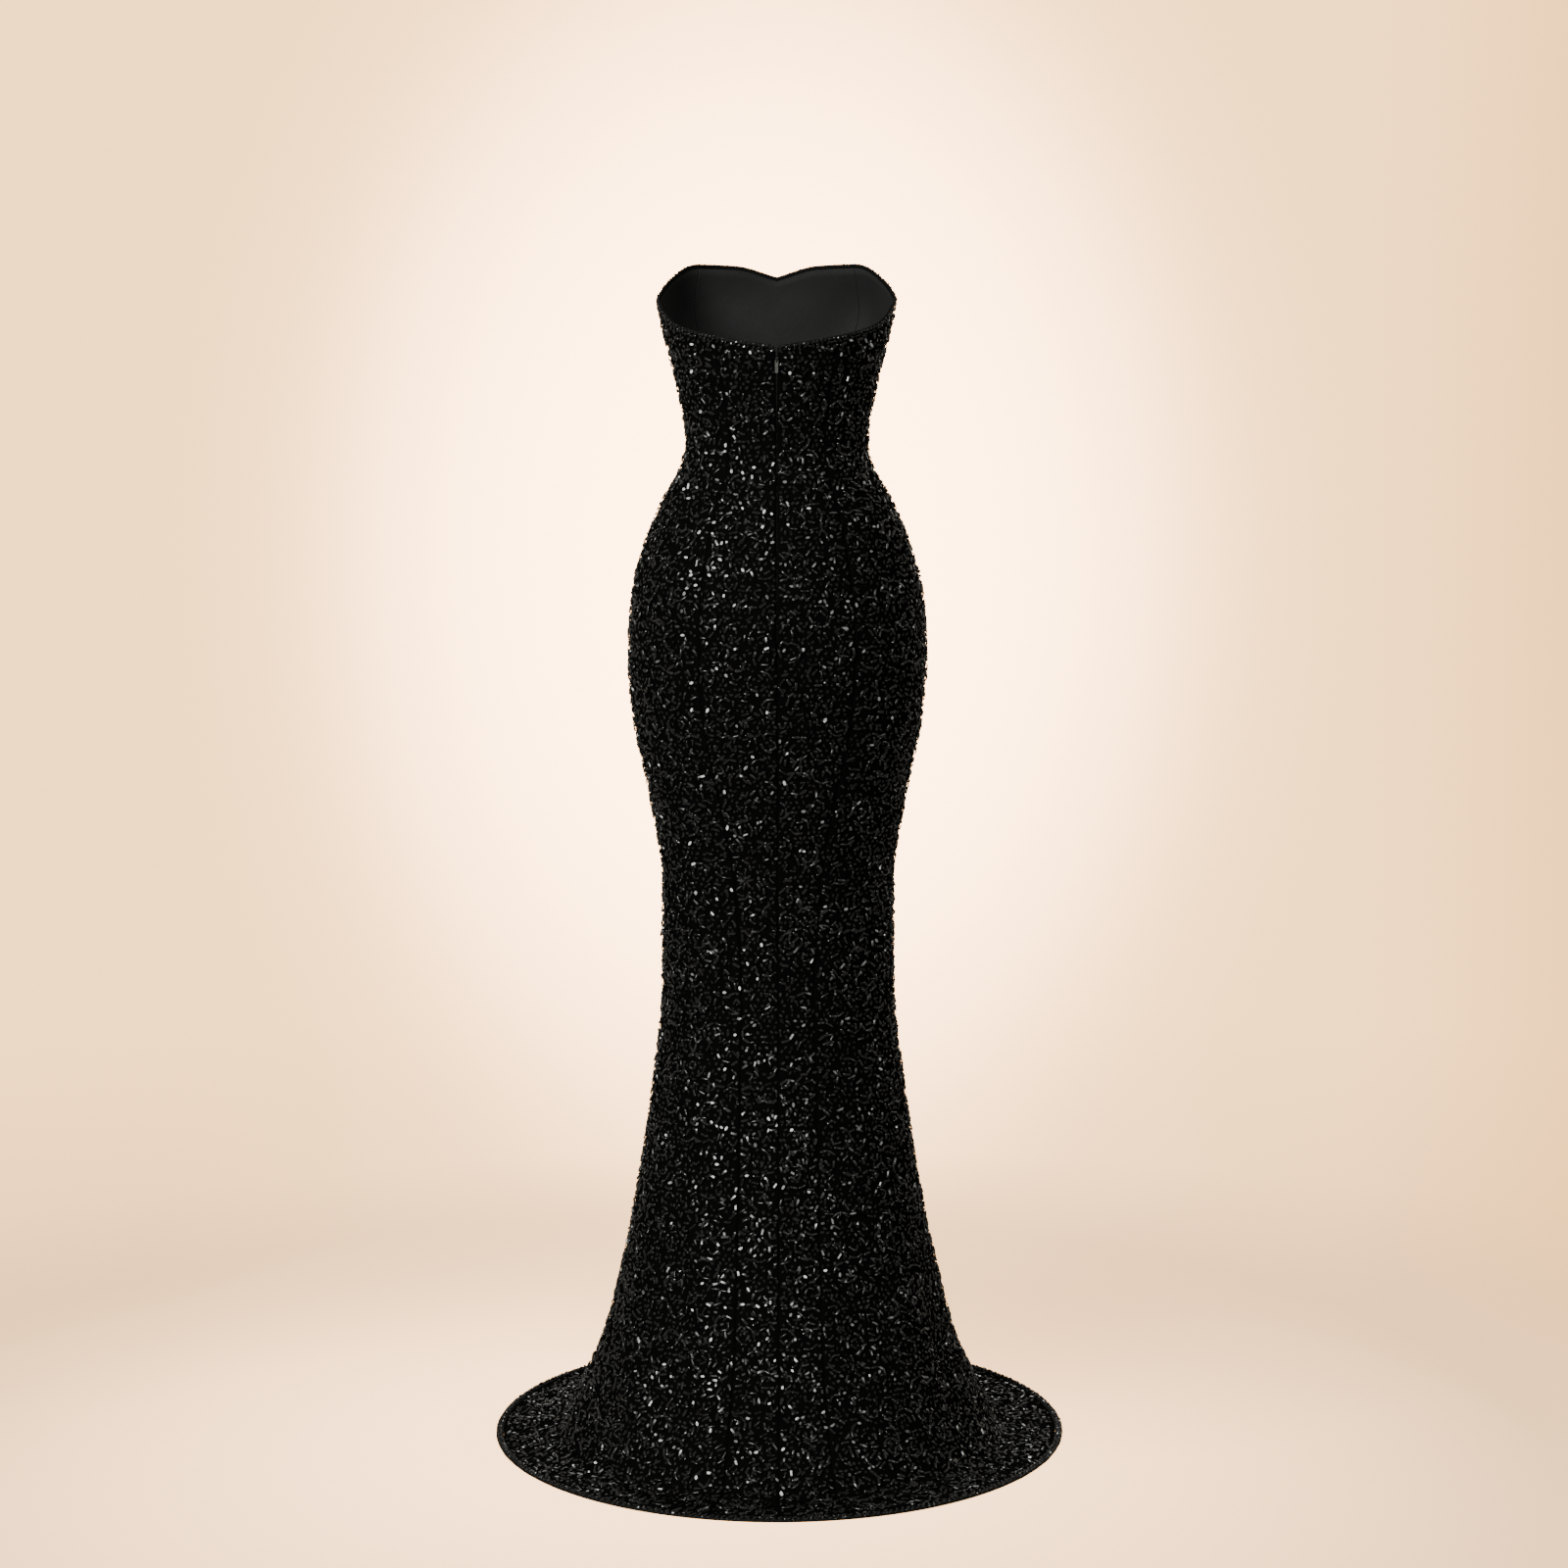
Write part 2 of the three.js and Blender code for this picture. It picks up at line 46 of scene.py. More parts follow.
SECTIONS = np.array([
    (1.400, 0.1380, 0.106, 0.090, 0.0000),
    (1.350, 0.1371, 0.102, 0.098, 0.0000),
    (1.300, 0.1343, 0.099, 0.106, 0.0000),
    (1.250, 0.1232, 0.095, 0.105, 0.0000),
    (1.200, 0.1116, 0.087, 0.096, 0.0000),
    (1.150, 0.1036, 0.081, 0.091, 0.0000),
    (1.120, 0.1092, 0.084, 0.094, 0.0000),
    (1.080, 0.1311, 0.098, 0.101, 0.0000),
    (1.030, 0.1520, 0.113, 0.106, 0.0000),
    (0.970, 0.1670, 0.124, 0.109, 0.0000),
    (0.900, 0.1710, 0.126, 0.110, 0.0000),
    (0.830, 0.1655, 0.118, 0.109, 0.0000),
    (0.740, 0.1475, 0.104, 0.105, 0.0000),
    (0.640, 0.1335, 0.094, 0.100, 0.0000),
    (0.520, 0.1345, 0.097, 0.101, 0.0010),
    (0.400, 0.1470, 0.112, 0.110, 0.0050),
    (0.290, 0.1640, 0.138, 0.127, 0.0110),
    (0.190, 0.1840, 0.173, 0.150, 0.0180),
    (0.110, 0.2050, 0.214, 0.176, 0.0250),
    (0.055, 0.2300, 0.252, 0.198, 0.0310),
    (0.018, 0.2490, 0.284, 0.216, 0.0350),
    (0.004, 0.2610, 0.303, 0.228, 0.0370),
    (0.002, 0.2790, 0.319, 0.240, 0.0395),
    (0.002, 0.3020, 0.342, 0.262, 0.0400),
    (0.002, 0.3290, 0.369, 0.289, 0.0400),
])
NECKLINE_STEP = 20
NECKLINE = (1.2565, 1.2625, 1.270, 1.280, 1.302, 1.314, 1.331, 1.348, 1.346, 1.333)
SEAM_HEIGHTS = np.array([1.300, 1.150, 0.900, 0.520, 0.002])
SEAM_ANGLES = {
    "centre": np.zeros(5),
    "back": np.array([34.0, 31.0, 31.0, 18.0, 14.0]),
    "side": np.full(5, 90.0),
    "front": np.array([141.0, 149.0, 148.0, 150.0, 146.0]),
}
SEAM_GAP = 0.0003
ZIP_SLIT = 0.0018
ZIP_END = 0.924
NOTCH = {"depth": 0.0030, "half_width": 0.0050}
NECK_BAND_HEIGHT = 0.004
HEM_BAND_WIDTH = 0.007
CUP = {"rise": 0.025, "angle": 139, "spread": 19, "height": 1.280, "above": 0.062, "below": 0.044}
# Each fold of the skirt: its angle at the top and at the bottom, how wide it is, the heights where it begins
# and ends, and how far it rises.
FOLDS = (
    (0, 0, 9, 0.780, 0.030, 0.0034),
    (60, 64, 9, 0.470, 0.060, 0.0040),
    (42, 38, 8, 0.380, 0.040, -0.0030),
    (-52, -50, 8, 0.420, 0.025, 0.0045),
    (-73, -64, 7, 0.330, 0.010, -0.0080),
    (-33, -30, 9, 0.300, 0.025, -0.0030),
    (108, 112, 9, 0.400, 0.030, -0.0050),
    (127, 129, 8, 0.520, 0.020, 0.0050),
    (160, 157, 9, 0.440, 0.030, -0.0050),
    (181, 183, 9, 0.560, 0.020, 0.0050),
    (206, 209, 9, 0.380, 0.025, -0.0060),
    (229, 233, 8, 0.470, 0.020, 0.0050),
    (251, 252, 8, 0.340, 0.040, -0.0040),
)
# Each small crease of the worn cloth: the angle and height of its middle, half its length, half its width,
# how far it leans from upright in degrees, and how far it rises.
CREASES = (
    (62, 1.158, 0.040, 0.0050, 78, -0.0014),
    (58, 1.139, 0.034, 0.0055, 84, 0.0012),
    (-60, 1.161, 0.036, 0.0055, -80, -0.0014),
    (-66, 1.142, 0.040, 0.0050, -74, 0.0011),
    (20, 1.128, 0.030, 0.0060, 70, -0.0010),
    (-22, 1.131, 0.034, 0.0055, -72, -0.0011),
    (118, 1.150, 0.038, 0.0055, 82, -0.0013),
    (-121, 1.147, 0.034, 0.0060, -78, -0.0013),
    (36, 0.742, 0.046, 0.0080, 66, -0.0014),
    (-40, 0.735, 0.040, 0.0085, -70, -0.0013),
    (74, 0.560, 0.050, 0.0090, 60, 0.0014),
    (-70, 0.585, 0.044, 0.0085, -64, 0.0013),
    (12, 0.300, 0.080, 0.0100, 12, 0.0016),
    (-16, 0.255, 0.090, 0.0110, -8, -0.0018),
    (30, 0.205, 0.080, 0.0100, 20, 0.0020),
    (-42, 0.150, 0.060, 0.0090, -24, 0.0018),
    (75, 0.120, 0.060, 0.0080, 28, -0.0024),
    (-84, 0.110, 0.050, 0.0080, -18, 0.0020),
    (140, 0.620, 0.060, 0.0100, 40, -0.0015),
    (-150, 0.430, 0.080, 0.0110, -10, 0.0017),
    (168, 0.230, 0.080, 0.0110, 8, -0.0018),
    (-128, 0.180, 0.070, 0.0100, -14, -0.0020),
    (118, 0.150, 0.070, 0.0100, 16, 0.0019),
)


def curve_through(values):
    """A smooth curve through evenly spaced values that never overshoots them. The slope at a value is the
    harmonic mean of the steps beside it, or 0 where they turn, and a cubic joins each value to the next."""
    values = np.asarray(values, float)
    steps = np.diff(values)
    product = steps[:-1] * steps[1:]
    total = np.where(product > 0, steps[:-1] + steps[1:], 1)
    slopes = np.concatenate([steps[:1], np.where(product > 0, 2 * product / total, 0), steps[-1:]])

    def at(place):
        i = np.clip(np.floor(place).astype(int), 0, len(values) - 2)
        t = place - i
        rise = t * t * (3 - 2 * t)
        bend = slopes[i] * t * (1 - t) ** 2 + slopes[i + 1] * t * t * (t - 1)
        return values[i] * (1 - rise) + values[i + 1] * rise + bend

    return at


SECTION = {name: curve_through(SECTIONS[:, i]) for i, name in enumerate(SECTION_COLUMNS)}
neckline = curve_through(NECKLINE)
HEM_PLACE = len(SECTIONS) - 1
FINE_PLACES = np.linspace(0, HEM_PLACE - 1, 24001)
FINE_HEIGHTS = SECTION["height"](FINE_PLACES)
HEM_PLACES = np.linspace(HEM_PLACE - 1, HEM_PLACE, 2001)
HEM_WIDTHS = SECTION["half_width"](HEM_PLACES)


def place_at(height):
    """The place among the sections where the gown has a height above the floor."""
    return np.interp(-height, -FINE_HEIGHTS, FINE_PLACES)


def hem_place(inside):
    """The place on the flat hem that lies a distance inside its edge."""
    return np.interp(HEM_WIDTHS[-1] - inside, HEM_WIDTHS, HEM_PLACES)


def folded(degrees):
    """Degrees from the centre back, counted the shorter way round."""
    turn = np.abs(degrees) % 360
    return np.minimum(turn, 360 - turn)


def bell(offset, spread):
    """A bell curve: 1 in the middle, e to the power of minus the square of offset over spread."""
    return np.exp(-((offset / spread) ** 2))


def large_forms(degrees, height):
    """How far the bust shaping and the skirt's folds stand out: a bell across each one, times a bell up and
    down it for the bust, or a squared sine that swells and sinks along it for a fold."""
    drop = height - CUP["height"]
    upright = bell(drop, np.where(drop > 0, CUP["above"], CUP["below"]))
    rise = CUP["rise"] * upright * bell(folded(degrees) - CUP["angle"], CUP["spread"])
    for top, bottom, spread, begin, end, fold in FOLDS:
        along = np.clip((begin - height) / (begin - end), 0, 1)
        offset = (degrees - (top + (bottom - top) * along) + 180) % 360 - 180
        rise = rise + fold * np.sin(np.pi * along**1.6) ** 2 * bell(offset, spread)
    return rise


def surface(phi, place):
    """The gown's outer surface: half an ellipse behind and half in front of its widest line, moved out by
    the large forms. phi is in radians from the centre back towards the gown's own left."""
    half_width = SECTION["half_width"](place)
    centre = SECTION["centre"](place)
    height = SECTION["height"](place)
    back = SECTION["back"](place) - centre
    front = SECTION["front"](place) + centre
    depth = np.where(np.cos(phi) > 0, back, front)
    out = np.stack([np.sin(phi) / half_width, np.cos(phi) / depth])
    out = out / np.linalg.norm(out, axis=0)
    rise = large_forms(np.degrees(phi), height)
    x = half_width * np.sin(phi) + out[0] * rise
    y = centre + depth * np.cos(phi) + out[1] * rise
    return np.stack([x, y, height - WAIST_HEIGHT], axis=-1)


def unit(vectors):
    """Vectors of the same directions, one long."""
    return vectors / np.linalg.norm(vectors, axis=-1, keepdims=True)


def directions(phi, place):
    """Unit vectors of the surface: round it, down it at right angles to that, and out of it."""
    step = 1e-3
    round_it = unit(surface(phi + step, place) - surface(phi - step, place))
    down = surface(phi, np.minimum(place + step, HEM_PLACE)) - surface(phi, place - step)
    out = unit(np.cross(round_it, down))
    return round_it, np.cross(out, round_it), out


def seam_degrees(name, side, height):
    """The angle of a seam at a height: eased from row to row of its table by a smooth step."""
    angles = SEAM_ANGLES[name]
    row = np.interp(-height, -SEAM_HEIGHTS, np.arange(5.0))
    i = np.minimum(row.astype(int), 3)
    t = row - i
    return side * (angles[i] + (angles[i + 1] - angles[i]) * t * t * (3 - 2 * t))


def seam_half_gap(name, height):
    """Half the gap at a seam: none where it is sewn, and half the slit along the zip."""
    return np.where((name == "centre") & (height > ZIP_END), ZIP_SLIT / 2, 0.0)


PANELS = {
    "centre_back_left": {"from": ("centre", 1, 0), "to": ("back", 1, 0), "columns": 14},
    "side_back_left": {"from": ("back", 1, 0), "to": ("side", 1, 0), "columns": 26},
    "side_front_left": {"from": ("side", 1, 0), "to": ("front", 1, 0), "columns": 24},
    "centre_front": {"from": ("front", 1, 0), "to": ("front", -1, 360), "columns": 30},
    "side_front_right": {"from": ("front", -1, 0), "to": ("side", -1, 0), "columns": 24},
    "side_back_right": {"from": ("side", -1, 0), "to": ("back", -1, 0), "columns": 26},
    "centre_back_right": {"from": ("back", -1, 0), "to": ("centre", 1, 0), "columns": 14},
}


def panel_phi(panel, share, place):
    """The angle at a share of the way from one seam of a panel to the other, half their gaps left free."""
    height = SECTION["height"](place)
    ends = []
    for (name, side, turn), inward in ((panel["from"], 1), (panel["to"], -1)):
        phi = np.radians(seam_degrees(name, side, height) + turn)
        reach = surface(phi + 1e-3, place) - surface(phi - 1e-3, place)
        metres = np.linalg.norm(reach, axis=-1) / 2e-3
        ends.append(phi + inward * seam_half_gap(name, height) / metres)
    return ends[0] + (ends[1] - ends[0]) * share


def top_place(phi):
    """The place of the panels' top edge, just under the band of the neckline. At the zip the neckline
    drops in a small notch with straight sides."""
    turn = folded(np.degrees(phi))
    from_zip = np.radians(turn) * SECTION["back"](BODICE_PLACE)
    notch = NOTCH["depth"] * np.clip(1 - from_zip / NOTCH["half_width"], 0, 1)
    return place_at(neckline(turn / NECKLINE_STEP) - notch - NECK_BAND_HEIGHT - SEAM_GAP)


def small_creases(degrees, height, place):
    """How far the small creases stand out: for each, a bell across it times a bell along it, on axes turned
    by its lean."""
    rise = np.zeros_like(height)
    radius = SECTION["half_width"](place)
    for angle, middle, half_length, half_width, lean, depth in CREASES:
        offset = ((degrees - angle + 180) % 360 - 180) * np.pi / 180 * radius
        drop = height - middle
        turn = np.radians(lean)
        along = drop * np.cos(turn) + offset * np.sin(turn)
        across = offset * np.cos(turn) - drop * np.sin(turn)
        rise = rise + depth * bell(along, half_length) * bell(across, half_width)
    return rise


NET_BELOW = 0.0008
NET_THICKNESS = 0.0011
SEAM_DIP = 0.0009
SEAM_DIP_WIDTH = 0.0022
FLOOR = -WAIST_HEIGHT
BODICE_PLACE = 3.0
WAIST_PLACE = 5
KNEE_PLACE = 14
FLAT_PLACE = 21
PANEL_ROWS = {"bodice": 22, "skirt": 48, "flare": 56, "hem": 16}
NARROW_COLUMN = 0.35


def net_point(phi, place, below=0.0, dip=0.0):
    """A point on the net: the gown's surface moved in by the beads' thickness and the dip at a seam, and
    out by the small creases, but never under the floor."""
    out = directions(phi, place)[2]
    height = SECTION["height"](place)
    rise = small_creases(np.degrees(phi), height, place) - NET_BELOW - dip - below
    points = surface(phi, place) + out * rise[..., None]
    least = np.where(below > 0, FLOOR + 0.0002, FLOOR + 0.0011)
    points[..., 2] = np.maximum(points[..., 2], least)
    return points


def panel_rows(panel):
    """The shares and places of a panel's grid, close together near the seams and near the flat hem, and
    one share for each column."""
    columns = panel["columns"]
    plain = np.linspace(0, 1, columns - 1)
    narrow = NARROW_COLUMN / columns
    shares = np.concatenate([[0, narrow], plain[1:-1], [1 - narrow, 1]])
    first, last = (
        np.radians(seam_degrees(name, side, SEAM_HEIGHTS[0]) + turn)
        for name, side, turn in (panel["from"], panel["to"])
    )
    tops = top_place(first * (1 - shares) + last * shares)
    bodice = tops + (WAIST_PLACE - tops) * np.linspace(0, 1, PANEL_ROWS["bodice"])[:-1, None]
    below = np.concatenate([
        np.linspace(WAIST_PLACE, KNEE_PLACE, PANEL_ROWS["skirt"])[:-1],
        np.linspace(KNEE_PLACE, FLAT_PLACE, PANEL_ROWS["flare"])[:-1],
        np.linspace(FLAT_PLACE, hem_place(HEM_BAND_WIDTH + SEAM_GAP), PANEL_ROWS["hem"]),
    ])
    return shares, np.concatenate([bodice, below[:, None] + 0 * shares])


def grid_faces(rows, columns, start=0, flip=False):
    """The four corners of each cell of a grid of points that is stored row by row."""
    corner = np.arange(rows - 1)[:, None] * columns + np.arange(columns - 1) + start
    faces = np.stack([corner, corner + 1, corner + columns + 1, corner + columns], axis=-1).reshape(-1, 4)
    return faces[:, ::-1] if flip else faces


def edge_faces(outer, inner):
    """The strip between two runs of points of the same length, one on each wall of a shell."""
    return np.stack([outer[:-1], inner[:-1], inner[1:], outer[1:]], axis=-1)


def add_mesh(name, points, faces, finishes, finish_of_face=None, smooth=True, uv=None):
    """A mesh object from arrays of points and of faces that all have the same number of corners."""
    mesh = bpy.data.meshes.new(name)
    count, corners = faces.shape
    mesh.vertices.add(len(points))
    mesh.vertices.foreach_set("co", np.ascontiguousarray(points, dtype=np.float32).ravel())
    mesh.loops.add(count * corners)
    mesh.loops.foreach_set("vertex_index", np.ascontiguousarray(faces, dtype=np.int32).ravel())
    mesh.polygons.add(count)
    mesh.polygons.foreach_set("loop_start", np.arange(0, count * corners, corners, dtype=np.int32))
    mesh.update(calc_edges=True)
    mesh.polygons.foreach_set("use_smooth", np.broadcast_to(smooth, count).astype(bool))
    for finish in finishes:
        mesh.materials.append(finish)
    if finish_of_face is not None:
        mesh.polygons.foreach_set("material_index", finish_of_face.astype(np.int32))
    if uv is not None:
        layer = mesh.uv_layers.new(name="cloth")
        layer.data.foreach_set("uv", uv[faces.ravel()].astype(np.float32).ravel())
    made = bpy.data.objects.new(name, mesh)
    bpy.context.scene.collection.objects.link(made)
    return made


class Wire:
    """One output of a shader node. Arithmetic on it adds Math nodes."""

    def __init__(self, tree, socket):
        self.tree = tree
        self.socket = socket

    def maths(self, operation, first, second):
        return self.tree.node("ShaderNodeMath", {"operation": operation}, {0: first, 1: second})

    def __add__(self, other):
        return self.maths("ADD", self, other)

    def __radd__(self, other):
        return self.maths("ADD", other, self)

    def __sub__(self, other):
        return self.maths("SUBTRACT", self, other)

    def __rsub__(self, other):
        return self.maths("SUBTRACT", other, self)

    def __mul__(self, other):
        return self.maths("MULTIPLY", self, other)

    def __rmul__(self, other):
        return self.maths("MULTIPLY", other, self)

    def __truediv__(self, other):
        return self.maths("DIVIDE", self, other)

    def __rtruediv__(self, other):
        return self.maths("DIVIDE", other, self)

    def __pow__(self, other):
        return self.maths("POWER", self, other)

    def __rpow__(self, other):
        return self.maths("POWER", other, self)


class Tree:
    """A tree of shader nodes. The sockets take plain numbers, colours or wires."""

    def __init__(self, nodes_and_links):
        self.nodes = nodes_and_links.nodes
        self.links = nodes_and_links.links

    def join(self, socket, value):
        """Links a wire to a socket, or sets a number or colour on it."""
        if isinstance(value, Wire):
            self.links.new(value.socket, socket)
        elif socket.type == "RGBA":
            socket.default_value = (*value, 1)
        else:
            socket.default_value = value

    def node(self, kind, settings, sockets, output=0):
        """A node of a type, with its settings, then the values or links of its sockets, as a wire."""
        made = self.nodes.new(kind)
        for name, value in settings.items():
            setattr(made, name, value)
        for name, value in sockets.items():
            self.join(made.inputs[name], value)
        return Wire(self, made.outputs[output])

    def place(self):
        """The point's own place on the object, in metres."""
        return self.node("ShaderNodeTexCoord", {}, {}, "Object")

    def noise(self, place, scale, detail=2.0):
        """Soft noise from 0 to 1, with scale cells in a metre."""
        sockets = {"Vector": place, "Scale": scale, "Detail": detail}
        return self.node("ShaderNodeTexNoise", {}, sockets, "Fac")

    def span(self, value, low, high, to_low, to_high):
        """A value carried from one range to another and held inside it."""
        sockets = {0: value, 1: low, 2: high, 3: to_low, 4: to_high}
        return self.node("ShaderNodeMapRange", {"clamp": True}, sockets)

    def mixed(self, share, first, second):
        """A colour between two colours."""
        sockets = {0: share, 6: first, 7: second}
        return self.node("ShaderNodeMix", {"data_type": "RGBA"}, sockets, 2)

    def bump(self, height, strength=1.0):
        """A normal from a height in metres."""
        sockets = {"Strength": strength, "Distance": 1.0, "Height": height}
        return self.node("ShaderNodeBump", {}, sockets, "Normal")


class Finish(Tree):
    """A procedural material."""

    def __init__(self, name, **numbers):
        self.material = bpy.data.materials.new(name)
        self.material.use_nodes = True
        super().__init__(self.material.node_tree)
        self.shader = self.nodes["Principled BSDF"]
        self.set(**numbers)

    def set(self, **values):
        """Sets the shader's sockets, with an underscore for each space in their names."""
        for name, value in values.items():
            self.join(self.shader.inputs[name.replace("_", " ")], value)


net = Finish("black_net", IOR=1.45, Specular_IOR_Level=0.02)
where = net.place()
threads = net.noise(where, 1300.0, 2.0)
soft = net.noise(where, 90.0, 2.0)
net.set(
    Base_Color=net.mixed(soft, (0.0012, 0.0012, 0.0013), (0.0032, 0.0031, 0.0030)),
    Roughness=net.span(threads, 0.25, 0.75, 0.75, 0.95),
    Normal=net.bump(threads * 0.00012),
)

backing = Finish("net_backing", IOR=1.4)
where = backing.place()
weave = backing.noise(where, 900.0, 3.0)
soft = backing.noise(where, 26.0)
backing.set(
    Base_Color=backing.mixed(soft, (0.0045, 0.0045, 0.005), (0.010, 0.0095, 0.010)),
    Roughness=backing.span(weave, 0.2, 0.8, 0.72, 0.95),
    Normal=backing.bump(weave * 0.00012 + soft * 0.0012),
)


def add_panel(name, panel):
    """A panel's closed shell: the net's outer face, the backing's inner face, and the cut edges between
    them. Each seam's dip is a bell over the distance from the edge."""
    shares, places = panel_rows(panel)
    grid_shares = np.broadcast_to(shares, places.shape)
    phi = panel_phi(panel, grid_shares, places)
    flat = surface(phi, places)
    across = np.concatenate(
        [np.zeros((len(flat), 1)), np.cumsum(np.linalg.norm(np.diff(flat, axis=1), axis=-1), axis=1)], axis=1
    )
    down = np.concatenate(
        [np.zeros((1, flat.shape[1])), np.cumsum(np.linalg.norm(np.diff(flat, axis=0), axis=-1), axis=0)]
    )
    to_edge = np.minimum(across, across[:, -1:] - across)
    dip = SEAM_DIP * bell(to_edge, SEAM_DIP_WIDTH)
    outer = net_point(phi, places, 0.0, dip)
    inner = net_point(phi, places, NET_THICKNESS, dip * 0.4)
    rows, columns = places.shape
    count = rows * columns
    index = np.arange(count).reshape(rows, columns)
    sides = [
        edge_faces(index[:, 0][::-1], index[:, 0][::-1] + count),
        edge_faces(index[:, -1], index[:, -1] + count),
        edge_faces(index[0], index[0] + count),
        edge_faces(index[-1][::-1], index[-1][::-1] + count),
    ]
    walls = [grid_faces(rows, columns), grid_faces(rows, columns, count, flip=True)]
    faces = np.concatenate(walls + sides)
    finish_of_face = np.ones(len(faces), int)
    finish_of_face[: len(walls[0])] = 0
    uv = np.stack([across, down], axis=-1).reshape(-1, 2)
    points = np.concatenate([outer.reshape(-1, 3), inner.reshape(-1, 3)])
    finishes = [net.material, backing.material]
    made = add_mesh(f"{name}_net", points, faces, finishes, finish_of_face, uv=np.concatenate([uv, uv]))
    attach(made, "gown")
    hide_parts(name)
    return made


shells = {name: add_panel(name, panel) for name, panel in PANELS.items()}


# The beads: glossy black glass beads, slightly curved and 8 to 11 mm long, sewn to the net in small whorls,
# each an open ring with longer arcs around it. A bead turns and leans a little on its thread, so it catches
# the light on its own.
WHORL_PITCH = 0.029
WHORL_JITTER = 0.26
RING = {"shift": 0.0010, "radius": (0.0042, 0.0060), "sweep": (2.6, 4.6)}
OUTER_ARC = {"shift": 0.0016, "radius": (0.0100, 0.0142), "sweep": (1.15, 2.0), "turn": 0.22}
THIRD_OF_TURN = 2.094
BEAD_LENGTH = 0.0106
BEAD_STEP = 0.0110
BEAD_SHARE = (0.72, 1.0)
BEAD_RADIUS = 0.0016
BEAD_RADIUS_SPREAD = 0.00014
BEAD_RISE = 0.0008
BEAD_SHIFT = 0.0045
BEAD_ROLL = 0.30
BEAD_LEAN = 0.13
STATIONS = np.array([-0.5, -0.45, -0.29, 0.29, 0.45, 0.5])
FULLNESS = np.array([0.0, 0.7, 1.0, 1.0, 0.7, 0.0])
BEAD_SECTION = np.array([(1.0, -0.40), (0.70, 0.56), (-0.70, 0.56), (-1.0, -0.40)])
ROUND_SHARE = 0.3
SEAM_MARGIN = 0.0003
EDGE_MARGIN = 0.0004
PATTERN_ROWS = 700
PATTERN_COLUMNS = 33
random = np.random.default_rng(41)


def panel_pattern(panel):
    """A panel's flat pattern: for places down the panel, how far they are down its middle line and how wide
    the panel is there."""
    top = min(top_place(panel_phi(panel, np.linspace(0, 1, 41), np.full(41, BODICE_PLACE))))
    places = np.linspace(top, hem_place(HEM_BAND_WIDTH), PATTERN_ROWS)
    shares, tall = np.meshgrid(np.linspace(0, 1, PATTERN_COLUMNS), places)
    grid = surface(panel_phi(panel, shares, tall), tall)
    widths = np.linalg.norm(np.diff(grid, axis=1), axis=-1).sum(axis=1)
    steps = np.linalg.norm(np.diff(grid[:, PATTERN_COLUMNS // 2], axis=0), axis=-1)
    return {"place": places, "down": np.concatenate([[0], np.cumsum(steps)]), "width": widths}


def scatter(pattern, pitch, jitter):
    """Points over a flat pattern: rows 0.866 of the pitch apart, each shared evenly over the panel's width,
    with every other row moved on by half a step, and each point moved a little at random."""
    rows = np.arange(0.25 * pitch, pattern["down"][-1], pitch * 0.866)
    widths = np.interp(rows, pattern["down"], pattern["width"])
    counts = np.maximum(np.round(widths / pitch).astype(int), 1)
    shares = np.concatenate([(np.arange(n) + 0.25 + 0.5 * (i % 2)) / n for i, n in enumerate(counts)])
    x = (shares - 0.5) * np.repeat(widths, counts)
    y = np.repeat(rows, counts)
    moves = random.uniform(-jitter, jitter, (len(x), 2)) * pitch
    return np.stack([x, y], axis=-1) + moves


def on_panel(panel, pattern, spots, margin):
    """Where spots of a flat pattern lie on the gown, as angle and place, and which of them keep their own
    half width and half height clear of the panel's edges."""
    x, y = spots[..., 0], spots[..., 1]
    width = np.interp(y, pattern["down"], pattern["width"])
    place = np.interp(y, pattern["down"], pattern["place"])
    phi = panel_phi(panel, x / width + 0.5, place)
    clear = np.abs(x) < width / 2 - margin[..., 0] - SEAM_MARGIN
    per_place = np.interp(y, pattern["down"], np.gradient(pattern["down"], pattern["place"]))
    clear &= (place - top_place(phi)) * per_place > margin[..., 1] + EDGE_MARGIN
    clear &= (y > 0) & (y < pattern["down"][-1] - margin[..., 1] - EDGE_MARGIN)
    return phi, place, clear


def copies(faces, points_each, count):
    """The faces of one shape, repeated for each of its copies."""
    start = np.arange(count)[:, None, None] * points_each
    return (faces + start).reshape(-1, faces.shape[1])


def tube_faces(rings, sides):
    """Triangles of a closed tube: one point at each end and rings of points between, stored in order."""
    k = np.arange(sides)
    n = (k + 1) % sides
    last = 1 + rings * sides
    faces = [np.stack([0 * k, 1 + n, 1 + k], axis=-1)]
    for i in range(rings - 1):
        a, b = 1 + i * sides + k, 1 + i * sides + n
        faces += [np.stack([a, b, b + sides], axis=-1), np.stack([a, b + sides, a + sides], axis=-1)]
    top = last - sides
    faces.append(np.stack([0 * k + last, top + k, top + n], axis=-1))
    return np.concatenate(faces)


BEAD_FACES = tube_faces(4, 4)


